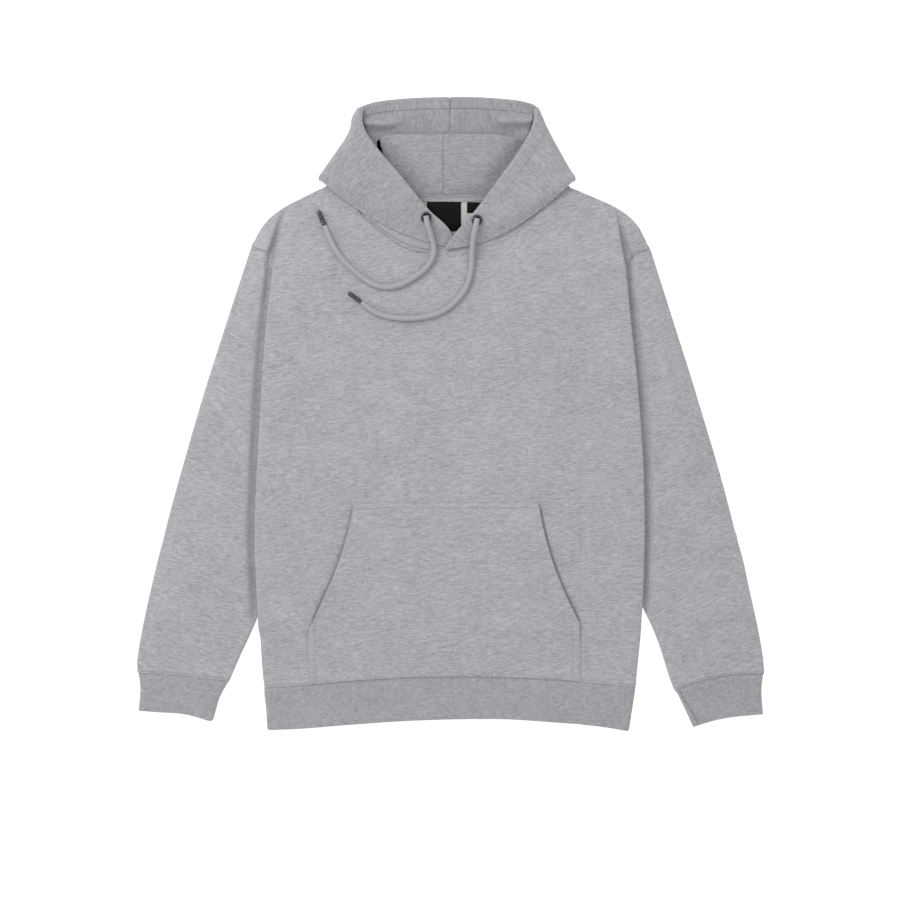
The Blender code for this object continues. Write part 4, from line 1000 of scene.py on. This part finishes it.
class HOODIE_OT_body(bpy.types.Operator):
    """Cut the front and the back of the body"""
    bl_idname = "hoodie.body"
    bl_label = "Body"

    def execute(self, context):
        cloth = fleece("marl fleece, body", turn=-7)
        front = finer("front", "front_cloth", 2)
        self.tuck_sides(front)
        for side in SIDES:
            draw_to(front, ARMHOLE_SEAM[side])
        draw_to(front, HEM_SEAM)
        refine(front, 8)
        refine(front, 1.8, [line[:8] for line in FOLD.values()], 13)
        hem_row = offset_line(HEM_SEAM, -2.4)
        refine(front, 1.8, [HEM_SEAM], 7)
        refine(front, 1.8, POCKET_OPENINGS, 5)
        refine(front, 0.9, (*NECK_ROWS, hem_row), 3)
        press(front, lambda places, tops: self.rise(places, tops)
              + grooved(places, NECK_ROWS[:2], 2.0, 1.1) + grooved(places, NECK_ROWS[2:])
              + grooved(places, [hem_row])
              + grooved(places, POCKET_OPENINGS, 1.8, 1.5))
        finish_cloth(front, "front", cloth)
        back = finer("back", "back_cloth", 2)
        self.flatten(back)
        finish_cloth(back, "back", cloth)
        back.data.materials.append(brushed())
        for face in back.data.polygons:
            face.material_index = int(face.normal.z > 0.5)
        # The neck rows are sewn in the darker thread: painted shade
        sewn("neck_stitches", NECK_ROWS, [front], context.scene.hoodie.thread.neck)
        sewn("hem_stitches", [hem_row], [front])
        return {"FINISHED"}

    @staticmethod
    def tuck_sides(front):
        """Fold the sides under crisply below the armholes, and let them down into the valleys
        above that."""
        places = places_of(front)
        below = 1 - over_armholes(places)
        for side, inward in zip(SIDES, (1, -1)):
            gap = outside(places[:, :2], side)
            past = np.maximum(gap + FOLD_TURN, 0)
            places[:, 0] += inward * below * (past - FOLD_TURN * np.tanh(past / FOLD_TURN))
            wall = (1 - below) * (1 - step((places[:, 1] - 200) / 8)) * step((gap + 0.5) / 1.8)
            places[:, 2] -= 0.85 * wall * np.maximum(places[:, 2] - VALLEY_FLOOR, 0)
        move_to(front, places)

    @staticmethod
    def flatten(back):
        """Lay the back flat under the valleys, where the front comes down onto it."""
        places = places_of(back)
        high = step((places[:, 1] - 178) / 12)
        for side in SIDES:
            under = high * step((outside(places[:, :2], side) + 7) / 5)
            places[:, 2] -= 0.9 * under * np.maximum(places[:, 2] - 2, 0)
        move_to(back, places)

    @staticmethod
    def rise(places, tops):
        """Creases, the cloth's slack, the seams' rolls and the valleys over the armholes."""
        rise = creased(places, FRONT_CREASES) + slack(places)
        rise += 0.7 * np.exp(-((apart(places, HEM_SEAM, 40) - 4) / 2.2) ** 2)
        high = over_armholes(places)
        for side in SIDES:
            gap, width = outside(places, side), valley(places)
            floor = high * step((gap + 0.5) / 1.8) * (1 - step((gap - width + 1.5) / 5))
            rise += floor * np.minimum(VALLEY_FLOOR - tops, 0)
            edge = apart(places, SHOULDER[side], 30)
            rise += high * 2.2 * step((gap - width + 1) / 6) * (1 - np.exp(-(edge / 12) ** 2))
        return rise


class HOODIE_OT_pocket(bpy.types.Operator):
    """Sew the pocket onto the front, open along its slanted sides"""
    bl_idname = "hoodie.pocket"
    bl_label = "Pocket"

    def execute(self, context):
        pocket = finer("pocket", "pocket_cloth", 2, plain=1)
        sewn_edges = [offset_line(POCKET_TOP, 0) + (0, 7.6),
                      offset_line(POCKET_SIDE["left"], 0) + (-10, 0),
                      offset_line(POCKET_SIDE["right"], 0) + (10, 0), HEM_SEAM]
        rows = [POCKET_TOP, *POCKET_SIDE.values()]
        refine(pocket, 1.1, rows, 3)

        def rise(places, tops):
            edge = np.min([apart(places, line) for line in sewn_edges], axis=0)
            return (creased(places, POCKET_CREASES) * step(edge / 20) + 0.6 * slack(places)
                    - 1.1 * (1 - step(edge / 7)) + grooved(places, rows, 1.1)
                    + 0.8 * np.exp(-(apart(places, POCKET_OPENINGS[0]) / 7) ** 2)
                    + 1.5 * np.exp(-(apart(places, POCKET_OPENINGS[1]) / 8) ** 2))
        press(pocket, rise)
        finish_cloth(pocket, "pocket", fleece("marl fleece, pocket", turn=-7))
        sewn("pocket_stitches", rows, [pocket])
        tacks = [[(np.array(start) + (end - np.array(start)) * share + (0, up))
                  for share, up in ((0, -0.4), (0.5, 0.4), (1, -0.4))]
                 for start, end in POCKET_CORNERS]
        sewn("pocket_tacks", tacks, [pocket])
        return {"FINISHED"}


class HOODIE_OT_sleeves(bpy.types.Operator):
    """Fill out the sleeves beside the body"""
    bl_idname = "hoodie.sleeves"
    bl_label = "Sleeves"

    def execute(self, context):
        for side, turn in zip(SIDES, (12, -17)):
            sleeve = finer("sleeve_" + side, "sleeve_cloth_" + side, 3)
            draw_to(sleeve, ARMHOLE_SEAM[side])
            draw_to(sleeve, CUFF_JOIN[side])
            cuff_row = offset_line(CUFF_JOIN[side], -2.0 if side == "left" else 2.0)
            refine(sleeve, 1.1, [cuff_row], 3)
            press(sleeve, lambda places, tops, side=side, row=cuff_row:
                  self.rise(places, tops, side) + grooved(places, [row]))
            cloth = fleece("marl fleece, sleeve " + side, turn=turn)
            finish_cloth(sleeve, "sleeve_" + side, cloth)
            front = bpy.data.objects["front_cloth"]
            inner = ARMHOLE_SEAM[side][-1]
            allowance = (*ARMHOLE_SEAM[side], (0.985 * inner[0], inner[1] - 14))
            backing("armhole_allowance_" + side, allowance, [front, sleeve], cloth, depth=0.8)
            sewn("cuff_stitches_" + side, [cuff_row], [sleeve])
        return {"FINISHED"}

    @staticmethod
    def rise(places, tops, side):
        """Creases, and the swell of the sleeve from the valley beside the body."""
        gap, width = outside(places, side), valley(places)
        edge = apart(places, SLEEVE_OUTER[side], 30)
        swell = step((gap - width + 1) / 7) * (1 - np.exp(-(edge / 16) ** 2))
        fade = 1 - step((-250 - places[:, 1]) / 70)
        floor = (1 - step((gap - width + 2) / 4)) * fade
        rise = SLEEVE_SWELL * swell * fade + floor * np.minimum(VALLEY_FLOOR - tops, 0)
        rise += 0.9 * np.exp(-((apart(places, CUFF_JOIN[side]) - 4) / 2) ** 2)
        return rise + creased(places, SLEEVE_CREASES[side]) + slack(places)


class HOODIE_OT_ribs(bpy.types.Operator):
    """Knit the cuffs and the hem"""
    bl_idname = "hoodie.ribs"
    bl_label = "Cuffs and hem"

    def execute(self, context):
        hem = finer("hem_rib", "hem_knit", 2)
        draw_to(hem, HEM_SEAM)
        refine(hem, 2, [line[-3:] for line in BODY_SIDE.values()], 8)
        round_corner(hem, (-233, -401.6), ((-233, -390), (-220, -400.8)))
        round_corner(hem, (226.4, -403.4), ((228, -390), (212.7, -400.7)))
        press(hem, lambda places, tops: creased(places, HEM_CREASES) + 0.8 * slack(places)
              - 0.4 * (1 - step(apart(places, HEM_SEAM, 40) / 6)))
        finish_cloth(hem, "hem_rib", rib_knit("ribbed knit, hem"))
        for side, turn in zip(SIDES, (-6, 9)):
            cuff = finer("cuff_" + side, "cuff_knit_" + side, 3)
            draw_to(cuff, CUFF_JOIN[side])
            if side == "right":
                refine(cuff, 1.0, [CUFF_SEAM], 3)
            else:
                refine(cuff, 1.5, [SLEEVE_INNER[side][-3:]], 8)
                round_corner(cuff, (-301.5, -391.2), ((-297.7, -376.3), (-311.1, -389.3)), 4.2)

            def rise(places, tops, side=side):
                rise = -0.6 * (1 - step(apart(places, CUFF_JOIN[side]) / 5))
                if side == "right":
                    rise += grooved(places, [CUFF_SEAM], 1.8, 0.9)
                return rise
            press(cuff, rise)
            knit = rib_knit("ribbed knit, cuff " + side, turn)
            finish_cloth(cuff, "cuff_" + side, knit)
        return {"FINISHED"}


class HOODIE_OT_hood(bpy.types.Operator):
    """Turn in the hood's casing and lay its sides and its back open"""
    bl_idname = "hoodie.hood"
    bl_label = "Hood"

    def execute(self, context):
        # Darker copies of the fleece for the crown and the hood's back: painted shade
        crown = fleece("marl fleece, crown", turn=90, shade=PAINTED_SHADES["crown"])
        lining = fleece("marl fleece, hood back", turn=-4, shade=PAINTED_SHADES["hood back"])
        ridges = [line for _, _, line in CROWN_CREASES]
        for side, turn in zip(SIDES, (-40, 36)):
            hood = finer("hood_" + side, "hood_cloth_" + side, 3)
            draw_to(hood, CROWN_JOIN, clear=OPEN_SEAM)
            refine(hood, 2.5, ridges, 12)
            press(hood, lambda places, tops, side=side: self.rise(places, tops, side))
            # The flaps' fleece is darkened too: painted shade
            cloth = fleece("marl fleece, hood " + side, turn=turn, shade=PAINTED_SHADES["hood_" + side])
            finish_cloth(hood, "hood_" + side, cloth)
            # The crown's cloth below the flaps takes the darker crown copy: painted shade
            hood.data.materials.append(crown)
            for face in hood.data.polygons:
                face.material_index = int(face.center.z < CROWN_BELOW * MM and face.normal.z > 0)
            back = finer("hood_back_" + side, "hood_back_cloth_" + side, 2)
            draw_to(back, BACK_JOIN, clear=OPEN_SEAM)
            if side == "left":
                refine(back, 1.2, [HOOD_GAP], 5)
            self.sink(back)
            press(back, lambda places, tops: creased(places, INSIDE_CREASES))
            finish_cloth(back, "hood_back_" + side, lining)
        hoods = [bpy.data.objects["hood_cloth_" + side] for side in SIDES]
        backs = [bpy.data.objects["hood_back_cloth_" + side] for side in SIDES]
        backing("crown_allowance", ((-1, 356), (-1, 400)), hoods, crown)
        backing("hood_back_allowance", ((-9.6, 278), (-9.6, 353)), backs, lining)
        # The casing takes the crown's darker copy: painted shade
        self.casing(crown)
        return {"FINISHED"}

    @staticmethod
    def rise(places, tops, side):
        """Creases and casing on the flap, and the crown's cloth as it rises to its casing."""
        gap = apart(places, OPENING[side], 30)
        clear = step((places[:, 1] - 262) / 16)
        casing = step(gap / 3) * (1 - step((gap - CASING) / 2.5)) + 0.8 * np.exp(-(gap / 22) ** 2)
        proud = FLAP_PROUD[side] * np.exp(-(gap / 16) ** 2)
        flap = creased(places, HOOD_CREASES[side]) + clear * (casing + proud) + 0.5 * slack(places)
        edge = apart(places, CROWN_EDGE, 40)
        crown = CROWN_RISE * (1 - step((edge - 8) / 36)) + creased(places, CROWN_CREASES)
        return np.where(tops > CROWN_BELOW, flap, crown)

    @staticmethod
    def sink(back):
        """Sink the hood's back towards its sides, under the flaps."""
        places = places_of(back)
        sunk = step((away(places[:, :2], HOOD_GAP)[0] + 0.6) / 1.8)
        for side, depth, reach in (("left", 0.95, 15), ("right", 0.88, 12)):
            gap = apart(places[:, :2], OPENING[side], 30)
            sunk = np.maximum(sunk, depth * np.exp(-(gap / reach) ** 2))
        low = 2.3
        places[:, 2] -= sunk * np.maximum(places[:, 2] - low, 0)
        move_to(back, places)

    @staticmethod
    def casing(material):
        """The casing that is turned in along the crown, in two halves that meet at the seam."""
        edge = smooth(np.linspace(0, 1, CASING_RINGS), CROWN_EDGE)
        halves = (np.vstack([edge[edge[:, 0] < -2], CASING_ENDS[0]]),
                  np.vstack([CASING_ENDS[1], edge[edge[:, 0] > 0]]))
        for side, half in zip(SIDES, halves):
            route = np.column_stack([half, np.zeros(len(half))])
            band = swept("crown_casing_" + side, route, CASING_SECTION)
            band.data.materials.append(material)
            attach(band, "root")
        sewn("crown_stitches", [offset_line(CROWN_EDGE, 13)],
             [bpy.data.objects["crown_casing_" + side] for side in SIDES])


class HOODIE_OT_neck(bpy.types.Operator):
    """Lay the tape over the back neck seam and hang the bare labels"""
    bl_idname = "hoodie.neck"
    bl_label = "Neck tape and labels"

    def execute(self, context):
        labels = context.scene.hoodie.labels
        tape = finer("neck_tape", "tape_cloth", 1, plain=1)
        move_to(tape, places_of(tape) - (0, TAPE_SLIP, 0))
        weave = woven_material("herringbone tape", labels.tape, 2 * labels.pick, 0.85)
        finish_cloth(tape, "neck_tape", weave)
        satin = woven_material("black woven satin", labels.black, labels.pick, 0.55)
        for node in ("neck_label", "size_label"):
            label = finer(node, node + "_satin", 0, plain=2)
            # The neck label is stretched down past its real edge: painted shade in the V below it
            places, (start, end) = places_of(label), np.array(LABELS[node])
            low, high = places[:, :2].min(axis=0), places[:, :2].max(axis=0)
            places[:, :2] = start + (places[:, :2] - low) / (high - low) * (end - start)
            move_to(label, places)
            finish_cloth(label, node, satin)
        return {"FINISHED"}


class HOODIE_OT_eyelets(bpy.types.Operator):
    """Set the metal eyelets at the ends of the hood's casing"""
    bl_idname = "hoodie.eyelets"
    bl_label = "Eyelets"

    def execute(self, context):
        metal = bpy.data.materials["gunmetal plating"]
        for side in SIDES:
            low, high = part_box("eyelet_" + side)
            eyelet = turned("eyelet_ring_" + side, EYELET_SECTION)
            eyelet.data.transform(Matrix.Translation(((low.x + high.x) / 2, (low.y + high.y) / 2,
                                                      low.z)))
            finish_piece(eyelet, "eyelet_" + side, metal)
        return {"FINISHED"}


class HOODIE_PT_panel(bpy.types.Panel):
    """Sizes, colours and the steps that build the hoodie"""
    bl_idname = "HOODIE_PT_panel"
    bl_label = "Pullover Hoodie"
    bl_space_type = "VIEW_3D"
    bl_region_type = "UI"
    bl_category = "Hoodie"

    def draw(self, context):
        settings = context.scene.hoodie
        for group in settings.bl_rna.properties:
            if group.type != "POINTER" or group.identifier == "rna_type":
                continue
            box = self.layout.box()
            box.label(text=group.identifier.capitalize())
            values = getattr(settings, group.identifier)
            for value in values.bl_rna.properties:
                if value.identifier not in ("rna_type", "name"):
                    box.prop(values, value.identifier)
        for step_class in STEPS:
            self.layout.operator(step_class.bl_idname)


GROUPS = (HoodieFleece, HoodieRib, HoodieThread, HoodieCord, HoodieMetal, HoodieLabels,
          HoodieStudio, HoodieSettings)
STEPS = (HOODIE_OT_stage, HOODIE_OT_drawcords, HOODIE_OT_body, HOODIE_OT_pocket,
         HOODIE_OT_sleeves, HOODIE_OT_ribs, HOODIE_OT_hood, HOODIE_OT_neck, HOODIE_OT_eyelets)


def register():
    for kind in (*GROUPS, *STEPS, HOODIE_PT_panel):
        bpy.utils.register_class(kind)
    bpy.types.Scene.hoodie = bpy.props.PointerProperty(type=HoodieSettings)


def unregister():
    del bpy.types.Scene.hoodie
    for kind in reversed((*GROUPS, *STEPS, HOODIE_PT_panel)):
        bpy.utils.unregister_class(kind)


def main():
    register()
    for kind in STEPS:
        group, name = kind.bl_idname.split(".")
        getattr(getattr(bpy.ops, group), name)()


if __name__ == "__main__":
    main()
